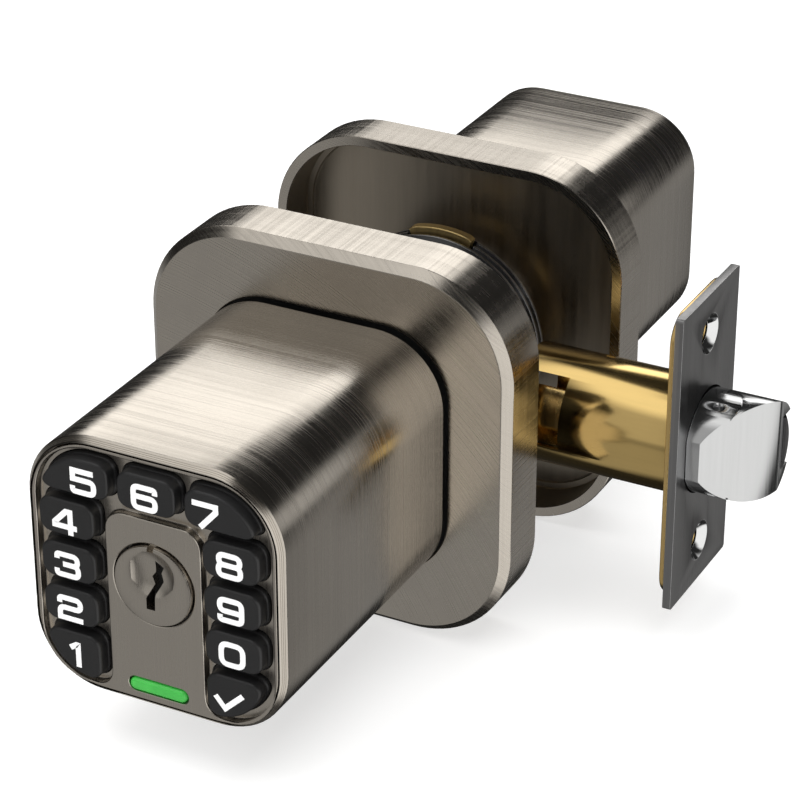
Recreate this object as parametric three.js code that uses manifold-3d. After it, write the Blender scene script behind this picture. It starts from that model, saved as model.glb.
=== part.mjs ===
// Knob-style keypad smart lock with its latch, as one assembly of separate pieces.
// Millimetres. +Z is up, -Y is the outside of the door, +X points at the door's edge.
// The origin is where the spindle's axis (along Y) crosses the latch's axis (along X),
// halfway through the door.
import * as THREE from "three";
import { mergeVertices } from "three/addons/utils/BufferGeometryUtils.js";
import Module from "manifold-3d";

const wasm = await Module();
wasm.setup();

// ---- Fits shared by every pair of pieces -------------------------------------------------
const GAP = 0.3; // between faces that touch, and round screws in their holes
const SLACK = 0.5; // between pieces that move past each other
const OVERRUN = 2; // how far a cutting solid runs past the face it cuts
const BEYOND = 200; // half the side of a cutting block larger than any piece

// ---- The door ----------------------------------------------------------------------------
const DOOR_THICKNESS = 35;
const BACKSET = 60; // spindle axis to the faceplate's outer face

// ---- Knobs -------------------------------------------------------------------------------
const KNOB_SIDE = 48;
const KNOB_CORNER = 13;
const KNOB_LENGTH = 56.3;
const KNOB_STANDOFF = 1.4; // air between a knob and its rosette
const KNOB_EDGE = 1.2; // chamfer of a knob's end
const KNOB_WALL = 2.2;
const KNOB_LIP = 0.95; // wall left round the end plate
const INSIDE_KNOB_SIDE = 46;
const INSIDE_KNOB_CORNER = 12;
const INSIDE_KNOB_LENGTH = 55.3;
const REAR_PLATE_THICKNESS = 2.3;
const REAR_PLATE_INSET = 0.3;
const BOSS_RADIUS = 2.9;
const BOSS_LENGTH = 10;
const BOSS_IN_WALL = 0.8; // how far a boss is sunk into the knob's wall

// ---- Rosettes ----------------------------------------------------------------------------
const ROSETTE_SIDE = 71.5;
const ROSETTE_CORNER = 19;
const ROSETTE_WALL = 2;
const ROSETTE_CHAMFER = 1.65;
const OUTSIDE_ROSETTE_DEPTH = 11.8;
const INSIDE_ROSETTE_DEPTH = 10.7;
const OPENING_EDGE = 1; // chamfer round the outside rosette's opening
const LINER_THICKNESS = 1.5;
const LINER_MARGIN = 2; // the liner is this much wider than the opening, all round

// ---- Chassis in the door -----------------------------------------------------------------
const HUB_RADIUS = 20.5;
const HUB_WALL = 2.7;
const HUB_INSET = 2; // from the outside rosette's rim to the hub's end
const HUB_PROUD = 0.5; // the hub's inside end past the inside rosette's rim
const HUB_RIB_PITCH = 1.6;
const HUB_RIB_DEPTH = 0.7;
const HUB_RIBS = 3;
const HUB_WINDOW_HEIGHT = 27.6;
const HUB_WINDOW_MARGIN = 0.65; // window to the latch tube
const END_PLATE_THICKNESS = 2;
const END_PLATE_INSET = 2.5; // from the hub's inside end to its end plate
const CATCH_PROUD = 1.1; // past the hub's ribs
const CATCH_WIDTH = 13;
const CATCH_THICKNESS = 1.9;
const CATCH_HEIGHT = 3.1;
const CATCH_INSET = 0.8; // from the hub's inside end
const MOUNTING_SCREW_RADIUS = 1.9;
const MOUNTING_SCREW_HEAD = 2.7;
const MOUNTING_SCREW_HEAD_HEIGHT = 1.8;

// ---- Shanks, bearings, spindle -----------------------------------------------------------
const SHANK_RADIUS = 14;
const SHANK_WALL = 3;
const BEARING_WALL = 2.2;
const BEARING_LENGTH = 4;
const SPINDLE_SIDE = 7;
const COUPLER_MARGIN = 0.6; // coupler to the shank's bore
const COUPLER_THICKNESS = 4;
const COUPLER_RECESS = 4.2;
const COUPLER_NOTCHES = 8;
const COUPLER_NOTCH_WIDTH = 2.6;
const COUPLER_NOTCH_DEPTH = 2;

// ---- Keypad ------------------------------------------------------------------------------
const FACE_THICKNESS = 3;
const FACE_RIM = 2; // knob edge to the key channel
const CHANNEL_DEPTH = 1.4;
const CHANNEL_CORNER = 10.5;
const CHANNEL_END_MARGIN = 1.8; // bottom of the channel to the knob's edge
const ISLAND_SIDE_MARGIN = 1.7; // the plug's head to the island's side
const ISLAND_MARGIN = 2.2; // the island's top edge to the top row of keys
const ISLAND_CORNER = 3.5;
const KEY_HEIGHT = 6.6;
const KEY_SPACING = 1.7; // between neighbouring caps
const KEY_CORNER = 1.9;
const KEY_SKIRT = 0.4; // the skirt is this much wider than the cap, each side
const KEY_MARGIN = 1.3; // channel wall to cap
const SIDE_KEY_INSET = 0.15; // more than that for the keys at the sides
const ISLAND_TO_KEY = 1.15;
const KEY_PROUD = 1.5; // cap above the face
const KEY_SKIRT_PROUD = 0.55; // skirt above the channel's floor
const KEY_EDGE = 0.35;
const KEY_HOLE_CLEARANCE = 0.2;
const KEY_FLANGE_THICKNESS = 0.8;
const KEY_TRAVEL = 0.8;
const TOP_KEY_WIDTH = 10.8;
const MEMBRANE_THICKNESS = 0.8;
const BOARD_THICKNESS = 1.2;
const BOARD_MARGIN = 0.6;
const LIGHT_LENGTH = 10.8;
const LIGHT_HEIGHT = 2.2;
const LIGHT_MARGIN = 3.9; // the light's middle to the knob's edge
const LIGHT_PROUD = 0.1;

// ---- Lock cylinder -----------------------------------------------------------------------
const PLUG_HEAD_RIM = 1; // the head is this much wider than the plug, all round
const PLUG_HEAD_EDGE = 0.4;
const PLUG_HEAD_PROUD = 0.35;
const PLUG_RADIUS = 6.3;
const PLUG_LENGTH = 30;
const PLUG_DIMPLE_RADIUS = 3.3;
const PLUG_DIMPLE_RISE = 1.6;
const PLUG_DIMPLE_DEPTH = 0.9;
const KEYWAY_DEPTH = 22;
const CYLINDER_WALL = 2.4;
const CYLINDER_LENGTH = 27;
const PIN_TOWER_WIDTH = 6;
const PIN_TOWER_HEIGHT = 5.3;
const TAILPIECE_WIDTH = 6;
const TAILPIECE_THICKNESS = 2;

// ---- Core of the outside knob ------------------------------------------------------------
const CORE_LENGTH = 28;
const CORE_WALL = 1.2; // between the lock cylinder and the motor
const MOTOR_RADIUS = 3.9;
const MOTOR_LENGTH = 20;
const CLUTCH_SCREW_RADIUS = 1.6;
const CLUTCH_SCREW_LENGTH = 12; // out of the motor
const CLUTCH_SCREW_INSIDE = 8; // in the motor's bore, with the clutch let go
const MOTOR_BORE_DEPTH = 12;
const DOG_LENGTH = 7;
const DOG_WIDTH = 6;
const DOG_TOOTH_WIDTH = 2;
const DOG_TRAVEL = 3;

// ---- Latch -------------------------------------------------------------------------------
const TUBE_WALL = 0.8;
const TUBE_CLEARANCE = 0.35; // round the bolt
const TUBE_BEHIND_SEAT = 9.9;
const TUBE_WINDOW_LENGTH = 6.4;
const TUBE_WINDOW_TOP = 9;
const TUBE_WINDOW_BOTTOM = -3.3;
const FACEPLATE_HEIGHT = 57.15;
const FACEPLATE_WIDTH = 25.4;
const FACEPLATE_THICKNESS = 1.5;
const BACK_PLATE_THICKNESS = 1;
const BACK_PLATE_MARGIN = 1;
const PLATE_SCREW_PITCH = 41.3;
const PLATE_SCREW_HOLE = 2.3;
const PLATE_COUNTERSINK = 3.75;
const BOLT_RADIUS = 9.5;
const BOLT_PROJECTION = 12.7;
const BOLT_LENGTH = 19.7;
const BOLT_FLAT_DEPTH = 0.75; // of the flat on the bolt's outside face
const BOLT_NOSE_Y = 3.5; // where the bevel meets the tip
const BOLT_BEVEL_START = 2.5; // past the faceplate
const BOLT_BEVEL_SAG = 0.9; // how far the bevel bulges from a straight ramp
const BOLT_PIN_RADIUS = 0.9;
const BOLT_PIN_FORWARD = 3.5; // past the faceplate
const BOLT_PIN_Y = -3.5;
const PLUNGER_Y = 4.9;
const PLUNGER_WIDTH = 10;
const PLUNGER_LENGTH = 27;
const PLUNGER_PROUD = 0.5;
const TAIL_WIDTH = 5;
const TAIL_THICKNESS = 2.4;
const SPRING_SEAT_THICKNESS = 1;
const SPRING_SPACE = 16.1; // the seat's rear face to the bolt
const CAM_ARM = 11.5;
const CAM_ARM_WIDTH = 4;
const CAM_HUB_RADIUS = 6.2;
const CAM_THICKNESS = 6;
const RETRACTOR_RAIL = 2; // thickness of a side rail
const RETRACTOR_TOP = -6.9;
const RETRACTOR_BOTTOM = -12.1;
const RETRACTOR_END = 22; // from the spindle's axis towards the tube
const VANE_HALF_HEIGHT = 6.8;
const VANE_REACH = 7.4; // latch axis to the vane's outside face
const VANE_LENGTH = 8.4;
const SHOE_THICKNESS = 2.4; // the bar that the cam pushes

// ---- Springs -----------------------------------------------------------------------------
const WIRE_RADIUS = 0.5;
const BOLT_SPRING_RADIUS = 3.9;
const BOLT_SPRING_TURNS = 4;
const RETURN_SPRING_MARGIN = 1.1; // shank to wire
const RETURN_SPRING_TURNS = 1.75;
const RETURN_SPRING_PITCH = 1.6;

// ---- Batteries in the inside knob --------------------------------------------------------
const CELL_RADIUS = 5.25;
const CELL_LENGTH = 43.5;
const CELL_NUB_RADIUS = 1.9;
const CELL_NUB_LENGTH = 1;
const CELL_OFFSET = 7.2; // from the knob's axis, across and up
const HOLDER_FLOOR = 1.5;
const HOLDER_MARGIN = 0.5;
const COVER_THICKNESS = 2.2;
const COVER_SCREW_RADIUS = 1.2;
const COVER_SCREW_HEAD = 2.4;
const COVER_SCREW_HEAD_HEIGHT = 0.8;
const COVER_SCREW_SINK = 0.9; // the cover's face to the underside of the head
const COVER_SCREW_LENGTH = 9;
const COVER_SCREW_HOLE = 12; // depth in the holder

// ---- Small screws ------------------------------------------------------------------------
const SMALL_SCREW_RADIUS = 1.1;
const SMALL_SCREW_HEAD = 2;
const SMALL_SCREW_HEAD_HEIGHT = 0.9;
const SMALL_SCREW_LENGTH = 8;

// ---- How round a round piece is ----------------------------------------------------------
const CORNER_STEPS = 3; // each arc of an outline gets twice this many sides
const ROUND_STEPS = 32;
const SMALL_ROUND_STEPS = 12;
const KEY_CORNER_STEPS = 1;
const DIMPLE_STEPS = 20;
const COIL_STEPS_PER_TURN = 10;

// ---- Places worked out from the sizes above ----------------------------------------------
const outsideRim = -DOOR_THICKNESS / 2;
const outsideFace = outsideRim - OUTSIDE_ROSETTE_DEPTH;
const outsideKnobRear = outsideFace - KNOB_STANDOFF;
const knobFace = outsideKnobRear - KNOB_LENGTH;
const insideRim = DOOR_THICKNESS / 2;
const insideFace = insideRim + INSIDE_ROSETTE_DEPTH;
const insideKnobRear = insideFace + KNOB_STANDOFF;
const insideKnobEnd = insideKnobRear + INSIDE_KNOB_LENGTH;
const hubOutside = outsideRim + HUB_INSET;
const hubInside = insideRim + HUB_PROUD;
const catchRadius = HUB_RADIUS + CATCH_PROUD;
const mountingScrewOffset = HUB_RADIUS - HUB_WALL - 2 * GAP - MOUNTING_SCREW_HEAD;
const shankBore = SHANK_RADIUS - SHANK_WALL;
const couplerRadius = shankBore - COUPLER_MARGIN;
const plateFront = knobFace + FACE_THICKNESS;
const channelFloor = knobFace + CHANNEL_DEPTH;
const flangeFront = plateFront + GAP;
const flangeBack = flangeFront + KEY_FLANGE_THICKNESS;
const membraneFront = flangeBack + KEY_TRAVEL + GAP;
const membraneBack = membraneFront + MEMBRANE_THICKNESS;
const boardFront = membraneBack + GAP;
const boardBack = boardFront + BOARD_THICKNESS;
const coreFront = boardBack + GAP;
const coreBack = coreFront + CORE_LENGTH;
const outsideRearPlate = outsideKnobRear - REAR_PLATE_INSET;
const insideRearPlate = insideKnobRear + REAR_PLATE_INSET;
const faceplateBack = BACKSET - FACEPLATE_THICKNESS;
const backPlateFront = faceplateBack - GAP;
const backPlateBack = backPlateFront - BACK_PLATE_THICKNESS;
const boltTip = BACKSET + BOLT_PROJECTION;
const boltRear = boltTip - BOLT_LENGTH;
const boltFlat = BOLT_RADIUS - BOLT_FLAT_DEPTH;
const springSeatX = boltRear - SPRING_SPACE;
const tubeRadius = BOLT_RADIUS + TUBE_CLEARANCE + TUBE_WALL;
const plugHeadRadius = PLUG_RADIUS + PLUG_HEAD_RIM;
const cylinderRadius = PLUG_RADIUS + CYLINDER_WALL;
const pinTowerReach = cylinderRadius + PIN_TOWER_HEIGHT;
const motorRise = cylinderRadius + CORE_WALL + MOTOR_RADIUS + 2 * GAP;
const lightDrop = KNOB_SIDE / 2 - LIGHT_MARGIN;

// ---- Materials ---------------------------------------------------------------------------
const paint = (color, roughness, metalness) =>
  new THREE.MeshStandardMaterial({ color, roughness, metalness });
const nickel = () => paint(0x9c9488, 0.3, 1);
const blackMetal = () => paint(0x1c1c1c, 0.5, 0.6);
const brass = () => paint(0xc9a24d, 0.25, 1);
const steel = () => paint(0x8f9194, 0.35, 1);
const darkSteel = () => paint(0x55565a, 0.35, 1);
const chrome = () => paint(0xd4d6d8, 0.15, 1);
const rubber = () => paint(0x151515, 0.6, 0);
const blackPlastic = () => paint(0x202124, 0.55, 0);
const greenLens = () => paint(0x3cbf4c, 0.3, 0);
const boardGreen = () => paint(0x1f5b35, 0.5, 0);
const cellSleeve = () => paint(0x3f6f8f, 0.4, 0.1);

// ---- Making solids -----------------------------------------------------------------------
// A closed, placed geometry as a solid with its faces pointing out.
function solid(geometry) {
  const bare = geometry.index ? geometry.toNonIndexed() : geometry.clone();
  bare.deleteAttribute("normal");
  bare.deleteAttribute("uv");
  const merged = mergeVertices(bare, 1e-4);
  const vertProperties = merged.attributes.position.array;
  const triVerts = new Uint32Array(merged.index.array);
  const made = new wasm.Manifold(new wasm.Mesh({ numProp: 3, vertProperties, triVerts }));
  if (made.volume() > 0) return made;
  const turned = triVerts.map((v, i) => triVerts[i - (i % 3) + [0, 2, 1][i % 3]]);
  return new wasm.Manifold(new wasm.Mesh({ numProp: 3, vertProperties, triVerts: turned }));
}

function cut(body, ...tools) {
  return tools.reduce((left, tool) => left.subtract(tool), body);
}

function join(body, ...others) {
  return others.reduce((sum, other) => sum.add(other), body);
}

function addMesh(group, name, shape, material, position = [0, 0, 0]) {
  const { vertProperties, triVerts } = shape.getMesh();
  const geometry = new THREE.BufferGeometry();
  geometry.setAttribute("position", new THREE.BufferAttribute(vertProperties, 3));
  geometry.setIndex(new THREE.BufferAttribute(triVerts, 1));
  const flat = geometry.toNonIndexed();
  flat.computeVertexNormals();
  const mesh = new THREE.Mesh(flat, material);
  mesh.name = name;
  mesh.position.set(...position);
  group.add(mesh);
  return mesh;
}

// ---- Outlines in a plane across the Y axis: x across, z up --------------------------------
function roundedBox(x0, x1, z0, z1, radius) {
  const r = Math.min(radius, (x1 - x0) / 2 - 0.01, (z1 - z0) / 2 - 0.01);
  const shape = new THREE.Shape();
  shape.absarc(x1 - r, z1 - r, r, 0, Math.PI / 2);
  shape.absarc(x0 + r, z1 - r, r, Math.PI / 2, Math.PI);
  shape.absarc(x0 + r, z0 + r, r, Math.PI, Math.PI * 1.5);
  shape.absarc(x1 - r, z0 + r, r, Math.PI * 1.5, Math.PI * 2);
  shape.closePath();
  return shape;
}

function roundedSquare(side, radius) {
  return roundedBox(-side / 2, side / 2, -side / 2, side / 2, radius);
}

function outline(points) {
  return new THREE.Shape(points.map(([x, z]) => new THREE.Vector2(x, z)));
}

// A prism along Y from one outline, with an optional chamfer at both ends.
function prism(shape, y0, y1, edge = 0, steps = CORNER_STEPS) {
  const geometry = new THREE.ExtrudeGeometry(shape, {
    depth: y1 - y0 - 2 * edge,
    curveSegments: steps,
    bevelEnabled: edge > 0,
    bevelSize: edge,
    bevelThickness: edge,
    bevelOffset: -edge,
    bevelSegments: 1,
  });
  return solid(geometry.rotateX(Math.PI / 2).translate(0, y1 - edge, 0));
}

// A prism with the chamfer at one end only: the other end of a longer prism is cut off.
function prismEdgeLow(shape, y0, y1, edge, steps = CORNER_STEPS) {
  const beyond = y1 + 2 * edge + OVERRUN;
  const tool = block([-BEYOND, BEYOND], [y1, beyond + 1], [-BEYOND, BEYOND]);
  return cut(prism(shape, y0, beyond, edge, steps), tool);
}

function prismEdgeHigh(shape, y0, y1, edge) {
  const before = y0 - 2 * edge - OVERRUN;
  const tool = block([-BEYOND, BEYOND], [before - 1, y0], [-BEYOND, BEYOND]);
  return cut(prism(shape, before, y1, edge), tool);
}

function block([x0, x1], [y0, y1], [z0, z1]) {
  const box = new THREE.BoxGeometry(x1 - x0, y1 - y0, z1 - z0);
  return solid(box.translate((x0 + x1) / 2, (y0 + y1) / 2, (z0 + z1) / 2));
}

// A turned piece about the Y axis from [radius, y] points that start and end on the axis.
function turned(points, steps = ROUND_STEPS) {
  const profile = points.map(([r, y]) => new THREE.Vector2(r, y));
  return solid(new THREE.LatheGeometry(profile, steps));
}

function turnedAlongX(points, steps = ROUND_STEPS) {
  const profile = points.map(([r, x]) => new THREE.Vector2(r, x));
  return solid(new THREE.LatheGeometry(profile, steps).rotateZ(-Math.PI / 2));
}

function rodY(radius, y0, y1, x = 0, z = 0, steps = ROUND_STEPS) {
  const rod = new THREE.CylinderGeometry(radius, radius, y1 - y0, steps);
  return solid(rod.translate(x, (y0 + y1) / 2, z));
}

function rodX(radius, x0, x1, y = 0, z = 0, steps = ROUND_STEPS) {
  const rod = new THREE.CylinderGeometry(radius, radius, x1 - x0, steps);
  return solid(rod.rotateZ(Math.PI / 2).translate((x0 + x1) / 2, y, z));
}

function rodZ(radius, z0, z1, x, y, steps = SMALL_ROUND_STEPS) {
  const rod = new THREE.CylinderGeometry(radius, radius, z1 - z0, steps);
  return solid(rod.rotateX(Math.PI / 2).translate(x, y, (z0 + z1) / 2));
}

// A ring about Y.
function ringY(outer, inner, y0, y1) {
  return cut(rodY(outer, y0, y1), rodY(inner, y0 - OVERRUN, y1 + OVERRUN));
}

// A wire wound about the local Y axis.
class Helix extends THREE.Curve {
  constructor(radius, pitch, turns) {
    super();
    Object.assign(this, { radius, pitch, turns });
  }
  getPoint(t, target = new THREE.Vector3()) {
    const angle = 2 * Math.PI * this.turns * t;
    const height = this.pitch * this.turns * t;
    return target.set(this.radius * Math.cos(angle), height, this.radius * Math.sin(angle));
  }
}

function coil(radius, pitch, turns, wire) {
  const section = new THREE.Shape();
  section.absarc(0, 0, wire, 0, Math.PI * 2);
  return new THREE.ExtrudeGeometry(section, {
    extrudePath: new Helix(radius, pitch, turns),
    steps: Math.round(turns * COIL_STEPS_PER_TURN),
    curveSegments: 3,
    bevelEnabled: false,
  });
}

// ---- Screws ------------------------------------------------------------------------------
// A pan-head screw about Y with its head's underside at y = 0, pointing along +Y.
function panScrew(radius, headRadius, headHeight, length) {
  return turned(
    [
      [0, -headHeight],
      [headRadius * 0.8, -headHeight],
      [headRadius, 0],
      [radius, 0],
      [radius, length - radius],
      [0, length],
    ],
    SMALL_ROUND_STEPS,
  );
}

// The slots of a cross recess in that head.
function crossRecess(headRadius, headHeight) {
  const half = headRadius * 0.6;
  const slot = headRadius * 0.13;
  const depth = [-headHeight - 1, -headHeight * 0.45];
  return join(
    block([-half, half], depth, [-slot, slot]),
    block([-slot, slot], depth, [-half, half]),
  );
}

function crossScrew(radius, headRadius, headHeight, length) {
  const screw = panScrew(radius, headRadius, headHeight, length);
  return cut(screw, crossRecess(headRadius, headHeight));
}

// The same screw turned round to point along -Y.
function reversed(shape) {
  return shape.rotate([0, 0, 180]);
}

// ---- Places of the corner bosses in a knob -----------------------------------------------
function bossPlace(side, corner) {
  const innerHalf = side / 2 - KNOB_WALL;
  const innerCorner = corner - KNOB_WALL;
  const along = (innerCorner - BOSS_RADIUS + BOSS_IN_WALL) / Math.SQRT2;
  return innerHalf - innerCorner + along;
}

// ---- Keypad layout -----------------------------------------------------------------------
const channelHalf = KNOB_SIDE / 2 - FACE_RIM;
const capLimit = channelHalf - KEY_MARGIN; // where a cap may reach, from the axis
const islandHalf = plugHeadRadius + ISLAND_SIDE_MARGIN;
const sideKeyInner = islandHalf + ISLAND_TO_KEY;
const sideKeyOuter = capLimit - SIDE_KEY_INSET;
const topRow = capLimit - KEY_HEIGHT;
const islandTop = topRow - ISLAND_MARGIN;
const channelEnd = KNOB_SIDE / 2 - CHANNEL_END_MARGIN;
const keyPitch = KEY_HEIGHT + KEY_SPACING;

// One cap's box: [x0, x1, z0, z1].
function sideKey(side, row) {
  const top = topRow - KEY_SPACING - row * keyPitch;
  const bottom = row < 3 ? top - KEY_HEIGHT : -capLimit;
  const span = side < 0 ? [-sideKeyOuter, -sideKeyInner] : [sideKeyInner, sideKeyOuter];
  return [...span, bottom, top];
}

function topKey(side) {
  const centre = TOP_KEY_WIDTH / 2;
  if (side === 0) return [-centre, centre, topRow, capLimit];
  const inner = centre + KEY_SPACING;
  return side < 0 ? [-capLimit, -inner, topRow, capLimit] : [inner, capLimit, topRow, capLimit];
}

const keyBoxes = {
  key_1: sideKey(-1, 3),
  key_2: sideKey(-1, 2),
  key_3: sideKey(-1, 1),
  key_4: sideKey(-1, 0),
  key_5: topKey(-1),
  key_6: topKey(0),
  key_7: topKey(1),
  key_8: sideKey(1, 0),
  key_9: sideKey(1, 1),
  key_0: sideKey(1, 2),
  key_enter: sideKey(1, 3),
};

// A block that fills the outside knob's shell but for a margin.
function innerPrism(margin, y0, y1) {
  const side = KNOB_SIDE - 2 * (KNOB_WALL + margin);
  return prism(roundedSquare(side, KNOB_CORNER - KNOB_WALL - margin), y0, y1);
}

// A key's section grown by a distance: its box, held inside the channel's rounded corner.
function keySection([x0, x1, z0, z1], grow, y0, y1, edge = 0) {
  const box = roundedBox(x0 - grow, x1 + grow, z0 - grow, z1 + grow, KEY_CORNER + grow);
  const limit = roundedSquare(2 * (capLimit + grow), CHANNEL_CORNER - KEY_MARGIN + grow);
  const edged = edge ? prismEdgeLow : prism;
  return edged(box, y0, y1, edge, KEY_CORNER_STEPS).intersect(edged(limit, y0, y1, edge));
}

function keySolid(box) {
  const skirtTop = channelFloor - KEY_SKIRT_PROUD;
  const cap = keySection(box, 0, knobFace - KEY_PROUD, skirtTop + 0.1, KEY_EDGE);
  const skirt = keySection(box, KEY_SKIRT, skirtTop, flangeFront + 0.1);
  const flangeGrow = (KEY_SPACING - GAP) / 2;
  const flange = keySection(box, flangeGrow, flangeFront, flangeBack);
  return join(cap, skirt, flange.intersect(innerPrism(GAP, flangeFront, flangeBack)));
}

// ---- Outside knob ------------------------------------------------------------------------
function knobShell(side, corner, rear, end, inward) {
  const low = Math.min(rear, end);
  const high = Math.max(rear, end);
  const edged = end < rear ? prismEdgeLow : prismEdgeHigh;
  const outer = edged(roundedSquare(side, corner), low, high, KNOB_EDGE);
  const hollow = roundedSquare(side - 2 * KNOB_WALL, corner - KNOB_WALL);
  const seat = roundedSquare(side - 2 * KNOB_LIP, corner - KNOB_LIP);
  const seatDepth = inward + GAP;
  const seatSpan = end < rear ? [end - OVERRUN, end + seatDepth] : [end - seatDepth, end + OVERRUN];
  const place = bossPlace(side, corner);
  const bossStart = rear + (end < rear ? -1 : 1) * (REAR_PLATE_INSET + REAR_PLATE_THICKNESS + GAP);
  const bossEnd = bossStart + (end < rear ? -1 : 1) * BOSS_LENGTH;
  const bossSpan = [Math.min(bossStart, bossEnd), Math.max(bossStart, bossEnd)];
  let shell = cut(
    outer,
    prism(hollow, low - OVERRUN, high + OVERRUN),
    prism(seat, seatSpan[0], seatSpan[1]),
  );
  for (const sign of [-1, 1]) {
    const at = [sign * place, place * sign];
    const boss = rodY(BOSS_RADIUS, ...bossSpan, ...at, SMALL_ROUND_STEPS);
    const hole = rodY(
      SMALL_SCREW_RADIUS + GAP,
      bossSpan[0] - 1,
      bossSpan[1] + 1,
      ...at,
      SMALL_ROUND_STEPS,
    );
    shell = cut(join(shell, boss), hole);
  }
  return shell;
}

// The plate that closes a knob's rear, with the shank that turns in the chassis.
function knobBase(side, corner, plateNear, plateFar, tubeEnd, bore) {
  const span = [Math.min(plateNear, plateFar), Math.max(plateNear, plateFar)];
  const shape = roundedSquare(side - 2 * (KNOB_WALL + GAP), corner - KNOB_WALL - GAP);
  const place = bossPlace(side, corner);
  const through = [span[0] - 1, span[1] + 1];
  const holes = [-1, 1].map((sign) =>
    rodY(SMALL_SCREW_RADIUS + GAP, ...through, sign * place, sign * place, SMALL_ROUND_STEPS),
  );
  const tube = rodY(SHANK_RADIUS, Math.min(tubeEnd, plateFar), Math.max(tubeEnd, plateFar));
  return cut(join(prism(shape, ...span), tube), bore, ...holes);
}

function facePlate() {
  const side = KNOB_SIDE - 2 * (KNOB_LIP + GAP);
  const plate = prism(roundedSquare(side, KNOB_CORNER - KNOB_LIP - GAP), knobFace, plateFront);
  const channelTop = knobFace - OVERRUN;
  const channel = cut(
    prism(roundedSquare(2 * channelHalf, CHANNEL_CORNER), channelTop, channelFloor),
    prism(
      roundedBox(-islandHalf, islandHalf, -KNOB_SIDE, islandTop, ISLAND_CORNER),
      channelTop - 1,
      channelFloor + 1,
    ),
    block([-KNOB_SIDE, KNOB_SIDE], [channelTop - 1, channelFloor + 1], [-KNOB_SIDE, -channelEnd]),
  );
  const holes = Object.values(keyBoxes).map((box) =>
    keySection(box, KEY_SKIRT + KEY_HOLE_CLEARANCE, knobFace - 1, plateFront + 1),
  );
  const plugHole = rodY(plugHeadRadius + GAP, knobFace - 1, plateFront + 1);
  const lightHole = prism(lightOutline(GAP), knobFace - 1, plateFront + 1);
  return cut(plate, channel, ...holes, plugHole, lightHole);
}

function lightOutline(grow) {
  const halfLength = LIGHT_LENGTH / 2 + grow;
  const halfHeight = LIGHT_HEIGHT / 2 + grow;
  const heights = [-lightDrop - halfHeight, -lightDrop + halfHeight];
  return roundedBox(-halfLength, halfLength, ...heights, halfHeight);
}

// The space that the lock cylinder takes through the sheets and the core behind the face.
function cylinderSpace(grow, y0, y1) {
  const tower = block(
    [-PIN_TOWER_WIDTH / 2 - grow, PIN_TOWER_WIDTH / 2 + grow],
    [y0, y1],
    [-pinTowerReach - grow, 0],
  );
  return join(rodY(cylinderRadius + grow, y0, y1), tower);
}

function innerSheet(margin, y0, y1) {
  return cut(innerPrism(margin, y0, y1), cylinderSpace(GAP, y0 - 1, y1 + 1));
}

function membrane() {
  const sheet = innerSheet(BOARD_MARGIN, membraneFront, membraneBack);
  return cut(sheet, prism(lightOutline(GAP), membraneFront - 1, membraneBack + 1));
}

function keyPlug() {
  const head = knobFace - PLUG_HEAD_PROUD;
  const neck = plateFront - GAP;
  const plug = turned([
    [0, head],
    [plugHeadRadius - PLUG_HEAD_EDGE, head],
    [plugHeadRadius, head + PLUG_HEAD_EDGE],
    [plugHeadRadius, neck],
    [PLUG_RADIUS, neck],
    [PLUG_RADIUS, head + PLUG_LENGTH],
    [0, head + PLUG_LENGTH],
  ]);
  const ball = (PLUG_DIMPLE_RADIUS ** 2 + PLUG_DIMPLE_DEPTH ** 2) / (2 * PLUG_DIMPLE_DEPTH);
  const dimple = solid(
    new THREE.SphereGeometry(ball, DIMPLE_STEPS, DIMPLE_STEPS).translate(
      0,
      head + PLUG_DIMPLE_DEPTH - ball,
      PLUG_DIMPLE_RISE,
    ),
  );
  const keyway = outline([
    [0.2, 4.6],
    [1.7, 3.7],
    [1.2, 2.4],
    [1.5, 1],
    [0.2, -1.6],
    [0.1, -4.2],
    [-1.1, -4.2],
    [-1.1, -2.6],
    [0.1, 0.2],
    [-0.4, 1.4],
    [0.2, 2.4],
  ]);
  return cut(plug, dimple, prism(keyway, head - 1, head + KEYWAY_DEPTH));
}

function cylinderHousing() {
  const front = plateFront + GAP;
  const back = front + CYLINDER_LENGTH;
  return cut(cylinderSpace(0, front, back), rodY(PLUG_RADIUS + GAP, front - 1, back + 1));
}

function coreFrame() {
  return cut(
    innerSheet(GAP, coreFront, coreBack),
    rodY(MOTOR_RADIUS + GAP, coreFront - 1, coreBack + 1, 0, motorRise),
  );
}

const motorFront = coreFront + 2;
const motorBack = motorFront + MOTOR_LENGTH;
const screwFront = motorBack - CLUTCH_SCREW_INSIDE;
const screwBack = motorBack + CLUTCH_SCREW_LENGTH;
const couplerFront = outsideRearPlate - REAR_PLATE_THICKNESS - COUPLER_THICKNESS - GAP;
const dogToothEnd = couplerFront - GAP - DOG_TRAVEL;
const dogFront = dogToothEnd - DOG_LENGTH - 1;

// A round piece on the motor's axis.
function clutchRod(radius, y0, y1) {
  return rodY(radius, y0, y1, 0, motorRise, SMALL_ROUND_STEPS);
}

// The motor drives its screw straight out of its own bore.
function clutchMotor() {
  const bore = clutchRod(CLUTCH_SCREW_RADIUS + GAP, motorBack - MOTOR_BORE_DEPTH, motorBack + 1);
  return cut(clutchRod(MOTOR_RADIUS, motorFront, motorBack), bore);
}

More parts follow.
